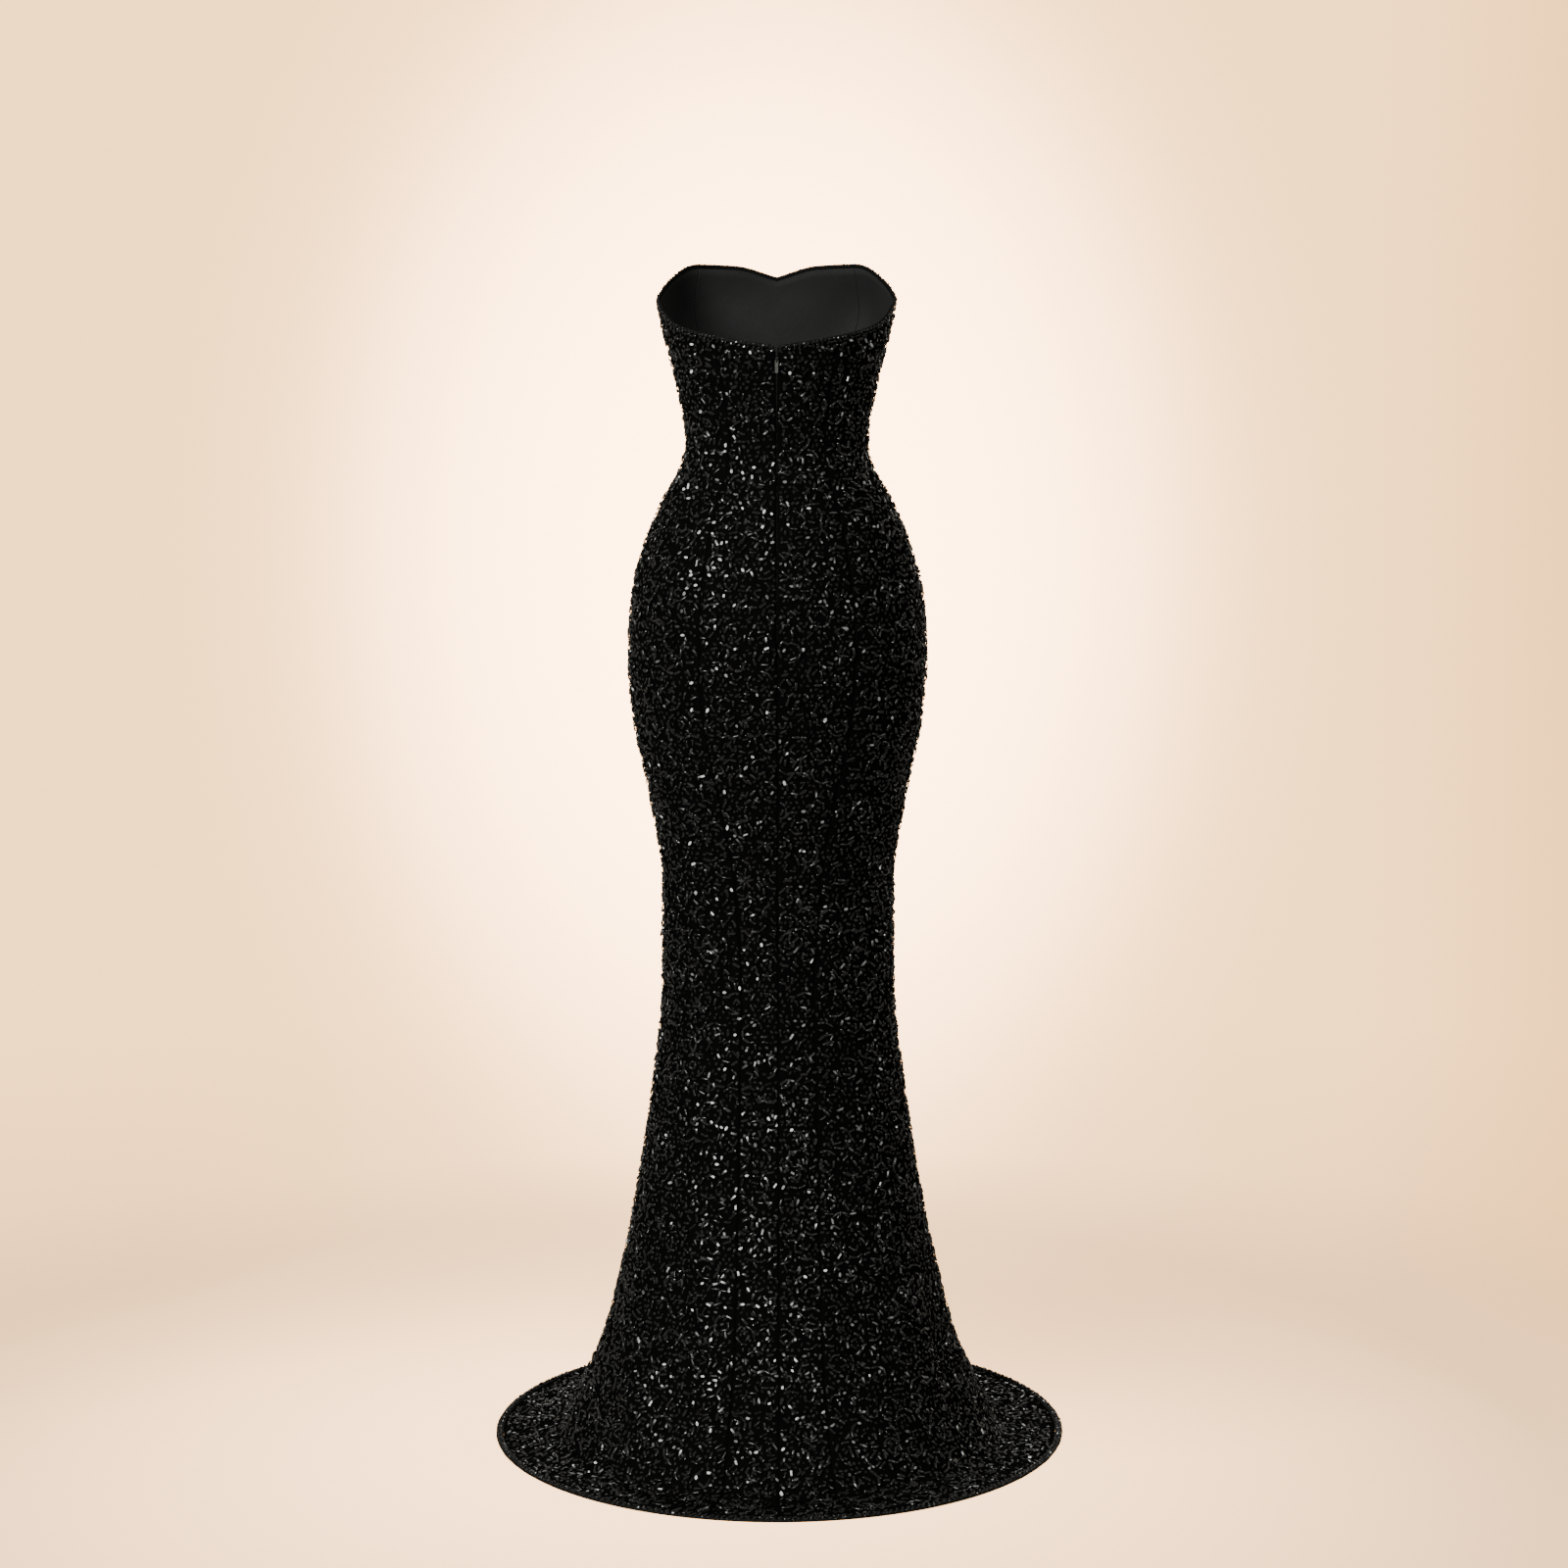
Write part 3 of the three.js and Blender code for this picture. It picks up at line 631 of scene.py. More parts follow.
def bead_points(line, across, up, radius):
    """Points of beads. A bead leans up from the cloth along its line and its section rolls about the line: a
    ring of corners across it at each station, drawn in to a point at each end."""
    count = len(line)
    length = np.linalg.norm(line[:, -1] - line[:, 0], axis=-1)
    lean, roll = random.normal(0, (BEAD_LEAN, BEAD_ROLL), (count, 2)).T
    line = line + up * (lean * length)[:, None, None] * STATIONS[:, None]
    roll = roll[:, None, None]
    side = (across * np.cos(roll) + up * np.sin(roll))[:, 1:-1, None]
    top = (up * np.cos(roll) - across * np.sin(roll))[:, 1:-1, None]
    reach = (radius[:, None] * FULLNESS)[:, 1:-1, None, None]
    corners = BEAD_SECTION[:, :1] * side + BEAD_SECTION[:, 1:] * top
    rings = (line[:, 1:-1, None] + reach * corners).reshape(count, -1, 3)
    return np.concatenate([line[:, :1], rings, line[:, -1:]], axis=1)


def beads_of(arcs):
    """Splits arcs into beads. An arc has its circle's middle, its radius, the angle of its own middle, and
    its sweep. It holds as many beads as fit its length, evenly spaced, and each bead is a short arc."""
    counts = np.maximum(np.round(arcs["radius"] * arcs["sweep"] / BEAD_STEP).astype(int), 1)
    arc = np.repeat(np.arange(len(counts)), counts)
    order = np.arange(len(arc)) - np.repeat(np.cumsum(counts) - counts, counts)
    made = {key: value[arc] for key, value in arcs.items()}
    made["middle"] = made["middle"] + made["sweep"] * ((order + 0.5) / counts[arc] - 0.5)
    made["sweep"] = random.uniform(*BEAD_SHARE, len(arc)) * BEAD_LENGTH / made["radius"]
    return made


def laid_beads(panel, pattern, arcs):
    """Beads along short arcs of a flat pattern, laid on the gown, and which of them fit. A bead that would
    just cross a seam is moved in beside it, and one that would still cross an edge is left out."""
    bend = arcs["middle"][:, None] + arcs["sweep"][:, None] * STATIONS
    way = np.stack([np.cos(bend), np.sin(bend)], axis=-1)
    spots = arcs["centre"][:, None] + arcs["radius"][:, None, None] * way
    radius = random.normal(BEAD_RADIUS, BEAD_RADIUS_SPREAD, len(bend))
    reach = np.interp(spots[..., 1], pattern["down"], pattern["width"]) / 2 - SEAM_MARGIN - radius[:, None]
    over = (np.abs(spots[..., 0]) - reach).max(axis=1).clip(0, BEAD_SHIFT)
    spots[..., 0] -= (np.sign(spots[:, 2, 0]) * over)[:, None]
    margin = np.broadcast_to((radius * 0.9)[:, None, None], way.shape)
    phi, place, clear = on_panel(panel, pattern, spots, margin)
    keep = clear.all(axis=1)
    phi, place, way, radius = phi[keep], place[keep], way[keep], radius[keep]
    round_it, down, out = directions(phi, place)
    across = -(round_it * way[..., :1] + down * way[..., 1:])
    rise = arcs["rise"][keep] + radius * 0.5
    line = net_point(phi, place) + out * rise[:, None, None]
    return bead_points(line, across, out, radius), keep


def add_beads(name, points, round_share, finish):
    """A mesh of beads. A share of them is round, and the others keep their long edges sharp, so that their
    sides are flat across and smooth along."""
    count, each = points.shape[:2]
    made = add_mesh(name, points.reshape(-1, 3), copies(BEAD_FACES, each, count), [finish.material])
    edges = made.data.edges
    ends = np.empty(len(edges) * 2, np.int32)
    edges.foreach_get("vertices", ends)
    ends = ends.reshape(-1, 2)
    corner = ends % each - 1
    on_rings = ((corner >= 0) & (corner < each - 2)).all(axis=1)
    same_side = corner[:, 0] % 4 == corner[:, 1] % 4
    flat = random.uniform(0, 1, count) > round_share
    edges.foreach_set("use_edge_sharp", on_rings & same_side & flat[ends[:, 0] // each])
    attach(made, "gown")
    return made


beads = Finish("black_glass_beads", IOR=1.52)
where = beads.place()
patch = beads.noise(where, 110.0, 1.0)
broad = beads.noise(where, 240.0, 1.0)
beads.set(
    Base_Color=beads.mixed(patch, (0.0056, 0.0056, 0.0057), (0.0182, 0.0177, 0.0170)),
    Roughness=beads.span(patch, 0.38, 0.72, 0.09, 0.40),
    Normal=beads.bump(broad * 0.00012),
)
patterns = {}
panel_arcs = {}
for name, panel in PANELS.items():
    pattern = patterns[name] = panel_pattern(panel)
    whorls = scatter(pattern, WHORL_PITCH, WHORL_JITTER)
    count = len(whorls)
    turn = random.uniform(0, 2 * np.pi, count)
    ring = {
        "centre": whorls + random.normal(0, RING["shift"], (count, 2)),
        "radius": random.uniform(*RING["radius"], count),
        "middle": turn,
        "sweep": random.uniform(*RING["sweep"], count),
    }
    outer = {key: [] for key in ring}
    for third in range(3):
        outer["centre"].append(whorls + random.normal(0, OUTER_ARC["shift"], (count, 2)))
        outer["radius"].append(random.uniform(*OUTER_ARC["radius"], count))
        outer["middle"].append(turn + third * THIRD_OF_TURN + random.normal(0, OUTER_ARC["turn"], count))
        outer["sweep"].append(random.uniform(*OUTER_ARC["sweep"], count))
    arcs = panel_arcs[name] = {key: np.concatenate([ring[key], *outer[key]]) for key in ring}
    arcs["rise"] = random.uniform(0, BEAD_RISE, len(arcs["middle"]))
    each = beads_of(arcs)
    whole, fits = laid_beads(panel, pattern, each)
    short = {key: value[~fits] for key, value in each.items()}
    short["sweep"] = short["sweep"] * 0.5
    points = np.concatenate([whole, laid_beads(panel, pattern, short)[0]])
    add_beads(f"{name}_beads", points, ROUND_SHARE, beads)


# The sequins: small flat black ovals, 2 to 3 mm wide and up to 6 mm long, sewn between the lines of beads so
# that they cover the net. Each lies at its own slight tilt and catches the light on its own.
SEQUIN_PITCH = 0.0068
SEQUIN_JITTER = 0.24
SEQUIN_RADIUS = (0.0012, 0.0016)
SEQUIN_LENGTH = (1.3, 1.8)
SEQUIN_TILT = 0.27
SEQUIN_MOST_TILT = 0.6
SEQUIN_RISE = 0.0005
SEQUIN_DEPTH = 0.00045
SEQUIN_SIDES = 8
SEQUIN_OVERLAP = 0.6
BEAD_OVERLAP = 0.9
SPOTS_AT_ONCE = 400

sequins = Finish("black_sequins", IOR=1.5)
where = sequins.place()
patch = sequins.noise(where, 120.0, 1.0)
sequins.set(
    Base_Color=sequins.mixed(patch, (0.0056, 0.0056, 0.0057), (0.0182, 0.0177, 0.0170)),
    Roughness=sequins.span(patch, 0.38, 0.72, 0.08, 0.38),
)


def sequin_faces(sides):
    """Triangles of a flat sequin: a fan over its rim for the top, and a point below that closes it."""
    k = np.arange(sides)
    n = (k + 1) % sides
    top = np.stack([0 * k[1:-1], k[1:-1], n[1:-1]], axis=-1)
    return np.concatenate([top, np.stack([0 * k + sides, n, k], axis=-1)])


SEQUIN_FACES = sequin_faces(SEQUIN_SIDES)


def sequin_points(phi, place, radius, tilt):
    """Flat oval sequins laid on the gown, each turned its own way and leaning as a plane, with a slope round
    the gown and a slope down it, and a point under the middle."""
    count = len(phi)
    around = np.arange(SEQUIN_SIDES) * 2 * np.pi / SEQUIN_SIDES
    turn = random.uniform(0, np.pi, count)[:, None]
    long = radius[:, None] * random.uniform(*SEQUIN_LENGTH, count)[:, None] * np.cos(around)
    short = radius[:, None] * np.sin(around)
    none = np.zeros((count, 1))
    along = np.concatenate([long * np.cos(turn) - short * np.sin(turn), none], axis=1)
    across = np.concatenate([long * np.sin(turn) + short * np.cos(turn), none], axis=1)
    up = along * tilt[:, :1] + across * tilt[:, 1:]
    up[:, -1] = -SEQUIN_DEPTH
    up += (SEQUIN_RISE + radius * np.linalg.norm(tilt, axis=1))[:, None]
    round_it, down, out = directions(phi, place)
    axes = np.stack([round_it, down, out], axis=1)
    steps = np.stack([along, across, up], axis=-1)
    return net_point(phi, place)[:, None] + np.einsum("npa,nad->npd", steps, axes)


def clear_of_arcs(spots, radius, arcs):
    """Which spots lie clear of every arc: the distance to the arc's line, or to its ends past them, is more
    than a part of the spot's radius and of a bead's."""
    clear = np.ones(len(spots), bool)
    for start in range(0, len(spots), SPOTS_AT_ONCE):
        part = slice(start, start + SPOTS_AT_ONCE)
        away = spots[part, None] - arcs["centre"]
        distance = np.linalg.norm(away, axis=-1)
        turn = np.arctan2(away[..., 1], away[..., 0]) - arcs["middle"]
        turn = np.abs((turn + np.pi) % (2 * np.pi) - np.pi)
        past = np.maximum(turn - arcs["sweep"] / 2, 0)
        gap = np.hypot(distance - arcs["radius"], 2 * arcs["radius"] * np.sin(np.minimum(past, np.pi) / 2))
        least = radius[part, None] * SEQUIN_OVERLAP + BEAD_RADIUS * BEAD_OVERLAP
        clear[part] = (gap > least).all(axis=1)
    return clear


for name, panel in PANELS.items():
    pattern = patterns[name]
    spots = scatter(pattern, SEQUIN_PITCH, SEQUIN_JITTER)
    radius = random.uniform(*SEQUIN_RADIUS, len(spots))
    phi, place, clear = on_panel(panel, pattern, spots, np.stack([radius, radius], axis=-1))
    clear &= clear_of_arcs(spots, radius, panel_arcs[name])
    phi, place, radius = phi[clear], place[clear], radius[clear]
    count = len(phi)
    tilt = random.normal(0, SEQUIN_TILT, (count, 2)).clip(-SEQUIN_MOST_TILT, SEQUIN_MOST_TILT)
    points = sequin_points(phi, place, radius, tilt)
    faces = copies(SEQUIN_FACES, points.shape[1], count)
    made = add_mesh(f"{name}_sequins", points.reshape(-1, 3), faces, [sequins.material], smooth=False)
    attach(made, "gown")


# The neckline's binding: a narrow bias strip of plain black satin, folded over the top edge of the net and
# stitched through. It starts and ends at the zip. Two uneven rows of short beads hide it from outside.
NECK_BAND_HALF = 0.0016
NECK_BAND_STEPS = 361
BINDING_CLOTH = 0.00035
BACK_CURVE = 0.095
PUCKER = 0.05
# Each row of beads: how many, and how far below the top of the panels.
NECK_BEAD_ROWS = ((151, -0.0022), (145, 0.0014))
NECK_BEADS_BEGIN = 0.035
NECK_STITCHES = {"count": 240, "begin": 0.03, "above": 0.0006, "behind": 0.0027, "length": 0.0022}
STITCH_RADIUS = 0.00022
BEAD_SLANT = (0.9, 0.5)

satin = Finish("black_satin_binding", IOR=1.45, Specular_IOR_Level=0.10)
where = satin.place()
threads = satin.noise(where, 1400.0, 2.0)
worn = satin.noise(where, 60.0, 2.0)
satin.set(
    Base_Color=satin.mixed(worn, (0.0028, 0.0028, 0.003), (0.006, 0.0058, 0.0056)),
    Roughness=satin.span(threads, 0.25, 0.75, 0.5, 0.7),
    Normal=satin.bump(threads * 0.00006 + worn * 0.0006),
)


def strip_round(section, thickness):
    """The closed outline of a folded strip: its outer face there and its inner face, moved in, back."""
    along = np.gradient(section, axis=0)
    inward = unit(np.stack([-along[:, 1], along[:, 0]], axis=-1))
    return np.concatenate([section, (section + inward * thickness)[::-1]])


def sweep_faces(rings, sides, closed):
    """Quads of an outline carried along a path, ring after ring, and back to the first if closed."""
    count = rings if closed else rings - 1
    i = np.arange(count)[:, None]
    k = np.arange(sides)[None, :]
    after, onward = (i + 1) % rings, (k + 1) % sides
    faces = np.stack([i * sides + k, i * sides + onward, after * sides + onward, after * sides + k], axis=-1)
    return faces.reshape(-1, 4)


bend = np.radians(np.linspace(96, -96, 13))
neck_section = np.concatenate([
    [(NECK_BAND_HALF, -0.0001), (NECK_BAND_HALF, 0.0008), (NECK_BAND_HALF, 0.0018)],
    np.stack([NECK_BAND_HALF * np.sin(bend), 0.0024 + NECK_BAND_HALF * np.cos(bend)], axis=-1)[1:-1],
    [(-NECK_BAND_HALF, 0.0018), (-NECK_BAND_HALF, 0.0008), (-NECK_BAND_HALF, -0.0001)],
])
outline = strip_round(neck_section, BINDING_CLOTH)
start_gap = ZIP_SLIT / 2 / BACK_CURVE
neck_phi = np.linspace(start_gap, 2 * np.pi - start_gap, NECK_BAND_STEPS)
neck_at = top_place(neck_phi)
_, neck_down, neck_out = directions(neck_phi, neck_at)
foot = surface(neck_phi, neck_at) - neck_out * 0.0010 - neck_down * SEAM_GAP
pucker = 1 + PUCKER * np.sin(neck_phi * 173) * np.sin(neck_phi * 61)
points = (
    foot[:, None]
    + neck_out[:, None] * (outline[:, 0][None, :, None] * pucker[:, None, None])
    - neck_down[:, None] * outline[:, 1][None, :, None]
)
sides = len(outline)
half = np.arange(sides // 2)
first_end = edge_faces(sides - 1 - half, half)
last_end = edge_faces(half, sides - 1 - half) + (len(neck_phi) - 1) * sides
faces = np.concatenate([sweep_faces(len(neck_phi), sides, closed=False), first_end, last_end])
binding = add_mesh("neckline_binding", points.reshape(-1, 3), faces, [satin.material])
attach(binding, "gown")
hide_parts("neck_binding")


def bead_row(name, spots, along, up, length, radius, finish=beads):
    """A row of short straight beads or stitches at spots, each with its own direction and its own up."""
    line = spots[:, None] + along[:, None] * (length[:, None] * STATIONS)[..., None]
    across, up = (np.broadcast_to(x[:, None], line.shape) for x in (np.cross(up, along), up))
    return add_beads(name, bead_points(line, across, up, radius), 0.0, finish)


counts, drops = zip(*NECK_BEAD_ROWS)
count = sum(counts)
row_phi = np.concatenate([np.linspace(NECK_BEADS_BEGIN, 2 * np.pi - NECK_BEADS_BEGIN, n) for n in counts])
row_drop = np.repeat(drops, counts) + random.normal(0, 0.0003, count)
row_phi = row_phi + random.normal(0, 0.006, count)
round_it, down, out = directions(row_phi, top_place(row_phi))
lean = random.normal(*BEAD_SLANT, count)[:, None]
along = round_it * np.sin(lean) + down * np.cos(lean)
spots = surface(row_phi, top_place(row_phi)) + down * row_drop[:, None] + out * 0.0009
bead_row(
    "neckline_beads", spots, along, out,
    random.uniform(0.0034, 0.0048, count), random.normal(0.0011, 0.00010, count),
)
count = NECK_STITCHES["count"]
stitch_phi = np.linspace(NECK_STITCHES["begin"], 2 * np.pi - NECK_STITCHES["begin"], count)
round_it, down, out = directions(stitch_phi, top_place(stitch_phi))
spots = surface(stitch_phi, top_place(stitch_phi))
spots = spots - down * NECK_STITCHES["above"] - out * NECK_STITCHES["behind"]
bead_row(
    "neckline_stitches", spots, round_it, -out,
    np.full(count, NECK_STITCHES["length"]), np.full(count, STITCH_RADIUS), satin,
)


# The hem's binding: the same satin, folded round the cut edge of the hem where it lies on the floor, under
# two uneven rows of short beads.
HEM_CENTRE = 0.040
HEM_RADIUS = 0.3305
HEM_BAND_STEPS = 540
HEM_SOFTNESS = 0.00025
# Each row of beads: how many, how far it tilts outwards, the least and most that it lies inside the edge, and
# how high.
HEM_BEAD_ROWS = ((300, 0.80, 0.0014, 0.0024, 0.0033), (310, 0.25, 0.0048, 0.0062, 0.0041))
hem_section = np.array([
    (0.0088, 0.0001), (0.0040, 0.0001), (0.0010, 0.0001), (0.0003, 0.0005), (0.0000, 0.0012),
    (0.0001, 0.0020), (0.0006, 0.0028), (0.0015, 0.0033), (0.0030, 0.0034), (0.0048, 0.0032),
    (0.0066, 0.0029), (0.0088, 0.0022),
])
outline = strip_round(hem_section, -BINDING_CLOTH)
around = np.linspace(0, 2 * np.pi, HEM_BAND_STEPS, endpoint=False)
soft = HEM_SOFTNESS * np.sin(around * 47) * np.sin(around * 13 + 1)
inside = outline[:, 0][None] + soft[:, None] * (outline[:, 1] > 0.0004)
height = outline[:, 1][None] + 0.0 * soft[:, None]
reach = HEM_RADIUS - inside
points = np.stack([
    reach * np.sin(around)[:, None],
    HEM_CENTRE + reach * np.cos(around)[:, None],
    FLOOR + height,
], axis=-1)
faces = sweep_faces(len(around), len(outline), closed=True)
hem = add_mesh("hem_band", points.reshape(-1, 3), faces, [satin.material])
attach(hem, "gown")
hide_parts("hem_binding")
row, slope, inside, lift = (np.concatenate(values) for values in zip(*(
    (
        np.linspace(0, 2 * np.pi, count, endpoint=False) + random.normal(0, 0.0030, count),
        random.normal(tilt, 0.22, count),
        random.uniform(least, most, count),
        np.full(count, high),
    )
    for count, tilt, least, most, high in HEM_BEAD_ROWS
)))
count = len(row)
outward = np.stack([np.sin(row), np.cos(row), 0 * row], axis=-1)
beside = np.stack([np.cos(row), -np.sin(row), 0 * row], axis=-1)
up = outward * np.sin(slope)[:, None] + np.array([0.0, 0.0, 1.0]) * np.cos(slope)[:, None]
lean = random.normal(*BEAD_SLANT, count)[:, None]
along = np.cross(up, beside) * np.cos(lean) + beside * np.sin(lean)
spots = outward * (HEM_RADIUS - inside)[:, None] + np.array([0.0, HEM_CENTRE, FLOOR])
spots = spots + lift[:, None] * [0, 0, 1]
bead_row(
    "hem_beads", spots, along, up,
    random.uniform(0.0040, 0.0056, count), random.normal(0.0012, 0.00010, count),
)


# The zip: two woven tapes behind the slit with a nylon coil between them, closed up to a small enamelled
# slider. Its pull tab hangs outside, where handling has worn the enamel to bright metal.
COIL_TOP = 1.2335
COIL_STEP = 0.0013
TOOTH = {"behind": 0.00225, "aside": 0.0003, "slant": 0.12, "length": 0.0034, "radius": 0.00042}
tape = Finish("zip_tape_weave", IOR=1.4, Specular_IOR_Level=0.05)
where = tape.place()
threads = tape.noise(where, 1500.0, 2.0)
tape.set(
    Base_Color=tape.mixed(threads, (0.0015, 0.0015, 0.0015), (0.004, 0.004, 0.004)),
    Roughness=tape.span(threads, 0.2, 0.8, 0.7, 0.9),
    Normal=tape.bump(threads * 0.00012),
)
nylon = Finish("zip_coil_nylon", IOR=1.5, Specular_IOR_Level=0.15)
where = nylon.place()
rub = nylon.noise(where, 700.0, 2.0)
nylon.set(
    Base_Color=nylon.mixed(rub, (0.001, 0.001, 0.001), (0.003, 0.003, 0.003)),
    Roughness=nylon.span(rub, 0.3, 0.7, 0.55, 0.75),
)


def enamel(name, bare_from, bare_to):
    """Black enamel over metal: wear noise between two levels shows the metal."""
    made = Finish(name, IOR=1.5, Coat_Roughness=0.08)
    wear = made.noise(made.place(), 420.0, 3.0)
    bare = made.span(wear, bare_from, bare_to, 0, 1)
    made.set(
        Base_Color=made.mixed(bare, (0.012, 0.012, 0.013), (0.36, 0.35, 0.33)),
        Roughness=made.span(wear, 0.3, 0.7, 0.2, 0.38),
        Metallic=bare,
        Coat_Weight=0.5 - bare * 0.5,
    )
    return made


for name, finish in (
    ("zip_tape_left", tape),
    ("zip_tape_right", tape),
    ("zip_slider", enamel("zip_enamel", 0.58, 0.75)),
    ("pull_tab", enamel("worn_tab_enamel", 0.30, 0.50)),
):
    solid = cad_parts[name]
    solid.data.materials.clear()
    solid.data.materials.append(finish.material)

coil_place = place_at(np.arange(COIL_TOP, ZIP_END + 0.003, -COIL_STEP))
count = len(coil_place)
round_it, down, out = directions(np.zeros(count), coil_place)
side = np.where(np.arange(count) % 2 == 0, 1.0, -1.0)[:, None]
spots = surface(np.zeros(count), coil_place) - out * TOOTH["behind"] + round_it * side * TOOTH["aside"]
bead_row(
    "zip_coil", spots, unit(round_it + down * side * TOOTH["slant"]), out,
    np.full(count, TOOTH["length"]), np.full(count, TOOTH["radius"]), nylon,
)


# The studio: a pale floor that fades into the light behind it, with painted light and a painted shadow in the
# colour that the camera sees on it, a backdrop with painted light and shade, soft lights, and a camera behind
# the gown, 1.3 m above the floor.
FLOOR_REACH = 6
# Painted light on the floor: the colour that the camera sees is brighter towards the camera and in a pool of
# light round the gown, and darker in a painted shadow beside the hem.
PAINTED_FLOOR_LIGHT = ((1.9, 1.08, 0.47), (2.3, 1.32, 0.60))
PAINTED_LIGHT_NEAR_GOWN = (5.0, 2.90, 1.37)
PAINTED_SHADOW_BESIDE_HEM = (1.7, 0.90, 0.38)
# Painted light and shade on the backdrop that the camera sees: the low band is lighter in its middle than at
# its sides, the side towards the gown's right is darker, and a halo of light is painted behind the gown.
WALL = (3.8, 2.15, 0.86)
WALL_LOW = ((2.6, 1.5, 0.66), (3.4, 1.98, 0.96))
WALL_RIGHT_PAINTED_SHADE = (2.4, 1.28, 0.42)
PAINTED_HALO_LIGHT = (12.5, 7.3, 3.8)
ROOM_LIGHT = (1.0, 0.96, 0.84)
pale = Finish("pale_floor", Roughness=0.7, IOR=1.3, Specular_IOR_Level=0.2, Emission_Strength=1.0)
where = pale.place()
near_gown = {0: where, 1: (0.12, 0.08, FLOOR)}
from_gown = pale.node("ShaderNodeVectorMath", {"operation": "DISTANCE"}, near_gown, "Value")
near_middle = {0: where, 1: (0, 0.6, FLOOR)}
from_middle = pale.node("ShaderNodeVectorMath", {"operation": "DISTANCE"}, near_middle, "Value")
depth = pale.node("ShaderNodeSeparateXYZ", {}, {0: where}, "Y")
# The floor's seen colour paints light and shade: brighter towards the camera, a pool of light near the gown,
# and a soft shadow on the floor by the hem, on the gown's right towards its front.
painted_light = pale.mixed(pale.span(depth, -0.5, 0.5, 0, 1), *PAINTED_FLOOR_LIGHT)
painted_light = pale.mixed(pale.span(from_gown, 0.30, 1.0, 1, 0), painted_light, PAINTED_LIGHT_NEAR_GOWN)
beside_hem = {0: where, 1: (-0.30, -0.42, FLOOR)}
from_painted_shadow = pale.node("ShaderNodeVectorMath", {"operation": "DISTANCE"}, beside_hem, "Value")
painted_light = pale.mixed(pale.span(from_painted_shadow, 0.15, 0.60, 0.42, 0), painted_light, PAINTED_SHADOW_BESIDE_HEM)
ray = pale.node("ShaderNodeLightPath", {}, {}, "Is Camera Ray")
pale.set(
    Base_Color=(0.22, 0.205, 0.19),
    Alpha=pale.span(from_middle, 1.0, 1.9, 1.0, 0.0),
    Emission_Color=pale.mixed(ray, (0, 0, 0), painted_light),
)
grid = np.linspace(-FLOOR_REACH, FLOOR_REACH, 2 * FLOOR_REACH + 1)
flat_x, flat_y = np.meshgrid(grid, grid)
points = np.stack([flat_x, flat_y, np.full_like(flat_x, FLOOR)], axis=-1).reshape(-1, 3)
floor = add_mesh("floor", points, grid_faces(len(grid), len(grid)), [pale.material])

world = bpy.data.worlds.new("studio")
bpy.context.scene.world = world
world.use_nodes = True
room = Tree(world.node_tree)
way = room.node("ShaderNodeTexCoord", {}, {}, "Object")
x = room.node("ShaderNodeSeparateXYZ", {}, {0: way}, "X")
y = room.node("ShaderNodeSeparateXYZ", {}, {0: way}, "Y")
z = room.node("ShaderNodeSeparateXYZ", {}, {0: way}, "Z")
# A painted halo of light behind the gown, a low band painted lighter in the middle, and painted shade towards
# the gown's right.
offset = ((x - 0.006) / 0.11) ** 2.0 + ((z + 0.069) / 0.155) ** 2.0
painted_halo = room.span(y, -0.2, -0.6, 0, 1) * 2.718 ** (offset * offset * -1.0)
low = room.span(z, -0.27, -0.20, 0, 1)
middle = room.span(x * x, 0.004, 0.030, 1, 0)
wall = room.mixed(low, room.mixed(middle, *WALL_LOW), WALL)
wall = room.mixed(room.span(x, -0.160, -0.215, 0, 0.6), wall, WALL_RIGHT_PAINTED_SHADE)
wall = room.mixed(painted_halo, wall, PAINTED_HALO_LIGHT)
seen = room.node("ShaderNodeBackground", {}, {"Color": wall, "Strength": 1.0})
around = room.span(y, -0.5, 0.5, 0.31, 0.015)
lit = room.node("ShaderNodeBackground", {}, {"Color": ROOM_LIGHT, "Strength": around})
ray = room.node("ShaderNodeLightPath", {}, {}, "Is Camera Ray")
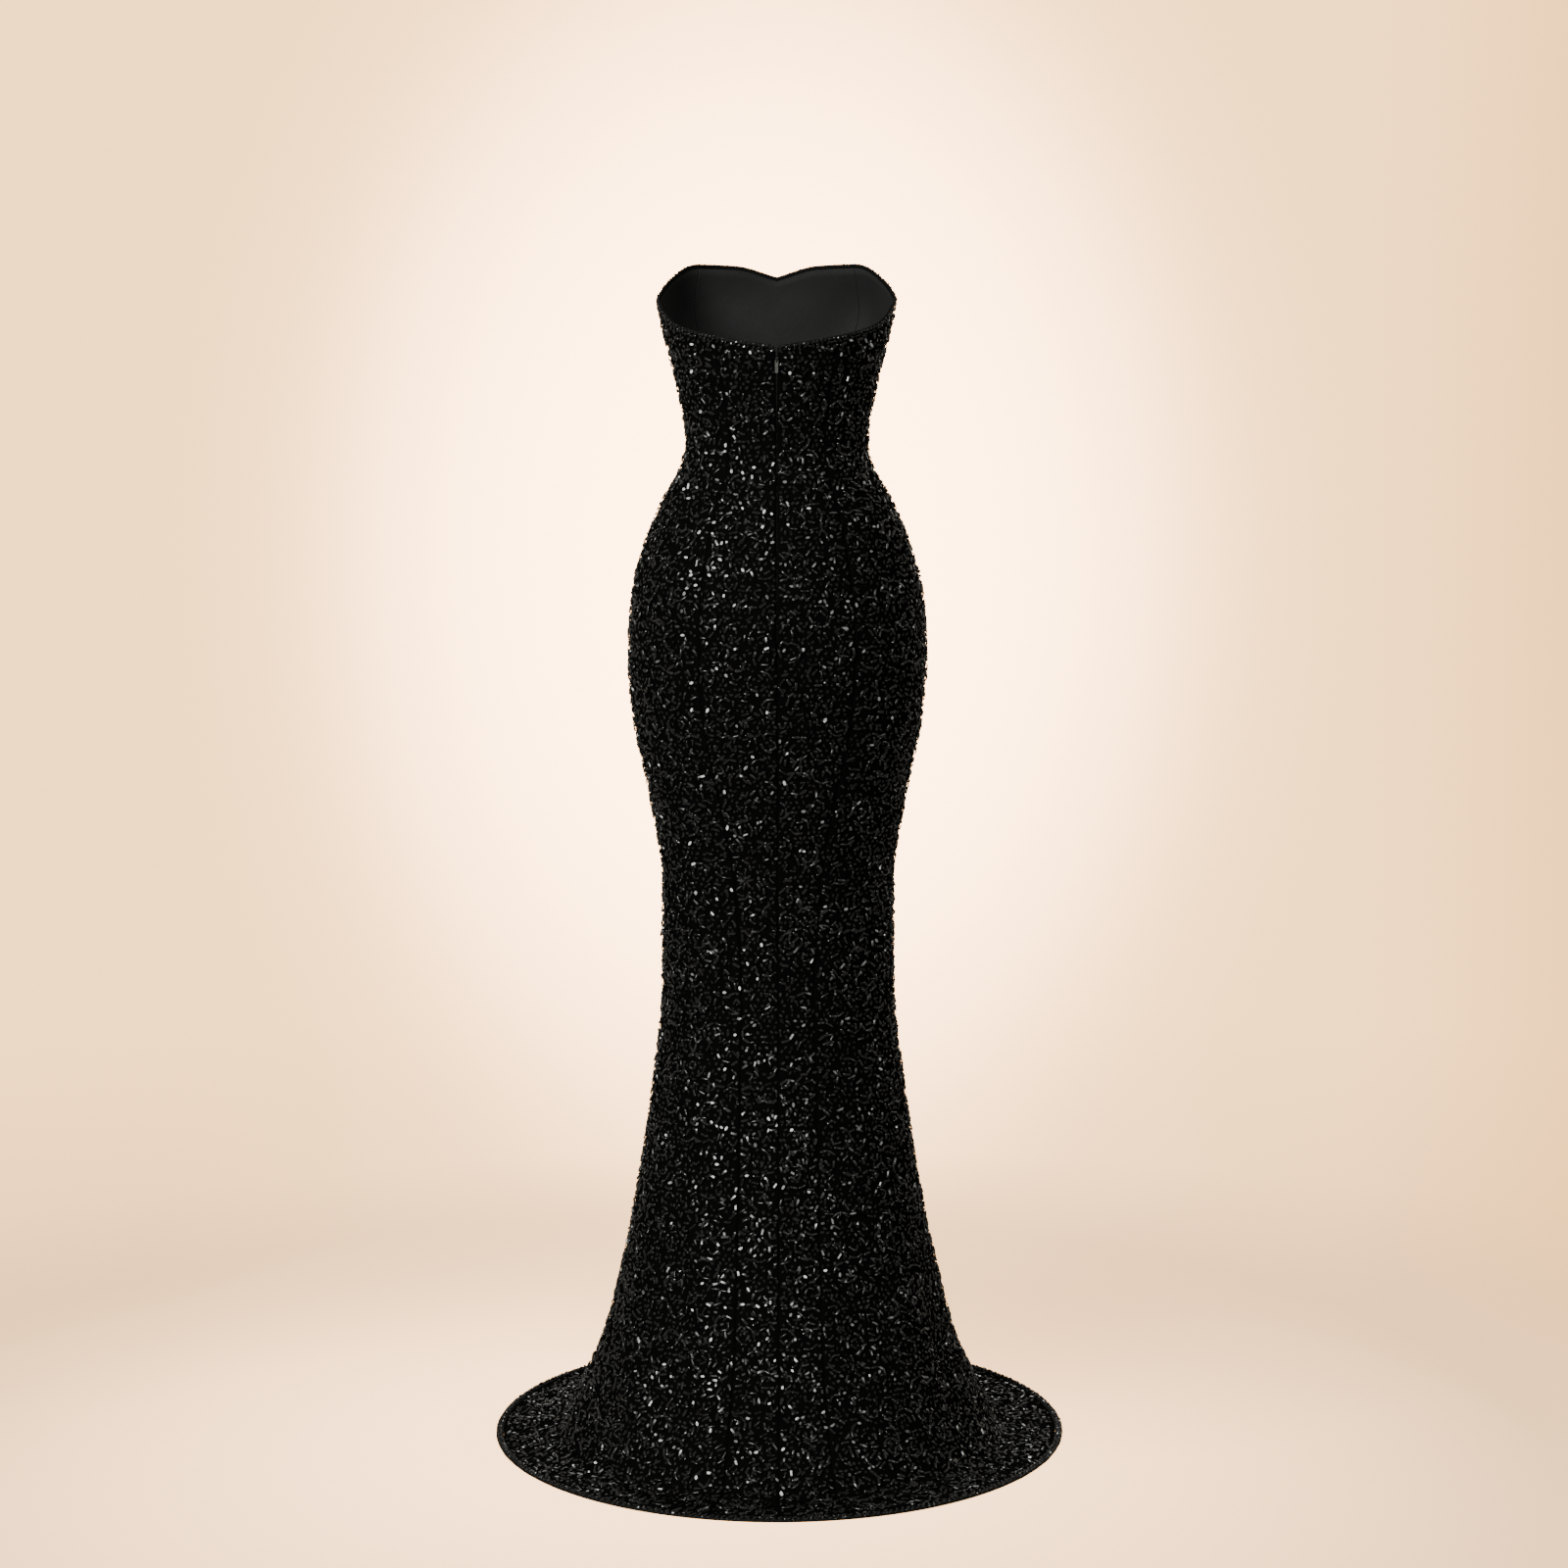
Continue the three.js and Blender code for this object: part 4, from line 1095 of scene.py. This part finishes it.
both = room.node("ShaderNodeMixShader", {}, {0: ray, 1: lit, 2: seen})
room.join(room.nodes["World Output"].inputs["Surface"], both)


def add_light(name, place, aim, size, radiance, tint=(1, 1, 1)):
    """A square soft light at a place, turned to face a point. Its power is its radiance times its area
    times pi."""
    data = bpy.data.lights.new(name, "AREA")
    data.shape = "RECTANGLE"
    data.size = size[0]
    data.size_y = size[1]
    data.energy = radiance * size[0] * size[1] * np.pi
    data.color = tint
    made = bpy.data.objects.new(name, data)
    bpy.context.scene.collection.objects.link(made)
    z = unit(np.array(place, float) - np.array(aim, float))
    x = unit(np.cross((0, 0, 1.0), z))
    y = np.cross(z, x)
    turned = Matrix(np.stack([x, y, z], axis=1).tolist())
    made.matrix_world = Matrix.Translation(place) @ turned.to_4x4()


add_light("key_light", (2.3, 3.2, 1.5), (0, 0, -0.2), (1.9, 1.6), 26.0, (1.0, 1.02, 0.97))
add_light("fill_light", (-2.8, 2.8, 1.1), (0, 0, -0.2), (1.7, 1.6), 5.9, (1.0, 1.02, 0.97))
add_light("top_light", (0.0, 0.4, 3.2), (0, 0, 0), (3.0, 3.0), 0.1, (1.0, 0.97, 0.9))
add_light("front_light", (0.2, -4.0, 1.2), (0, 0, 0.1), (1.4, 1.4), 3.0)
add_light("left_rim_light", (2.6, -3.0, 0.6), (0, 0, -0.3), (1.0, 2.4), 0.25, (1.0, 0.95, 0.84))
add_light("right_rim_light", (-2.6, -3.0, 0.6), (0, 0, -0.3), (1.0, 2.4), 1.1, (1.0, 0.95, 0.84))

CAMERA_PLACE = (-0.0084, 4.0, 0.149)
CAMERA_PITCH = np.radians(7.77)
CAMERA_ROLL = np.radians(0.13)
lens = bpy.data.cameras.new("camera")
lens.sensor_width = 36.0
lens.lens = 80.35
lens.clip_end = 60.0
camera = bpy.data.objects.new("camera", lens)
bpy.context.scene.collection.objects.link(camera)
camera.location = CAMERA_PLACE
camera.rotation_euler = (np.pi / 2 - CAMERA_PITCH, CAMERA_ROLL, np.pi)
bpy.context.scene.camera = camera

bpy.context.view_layer.update()
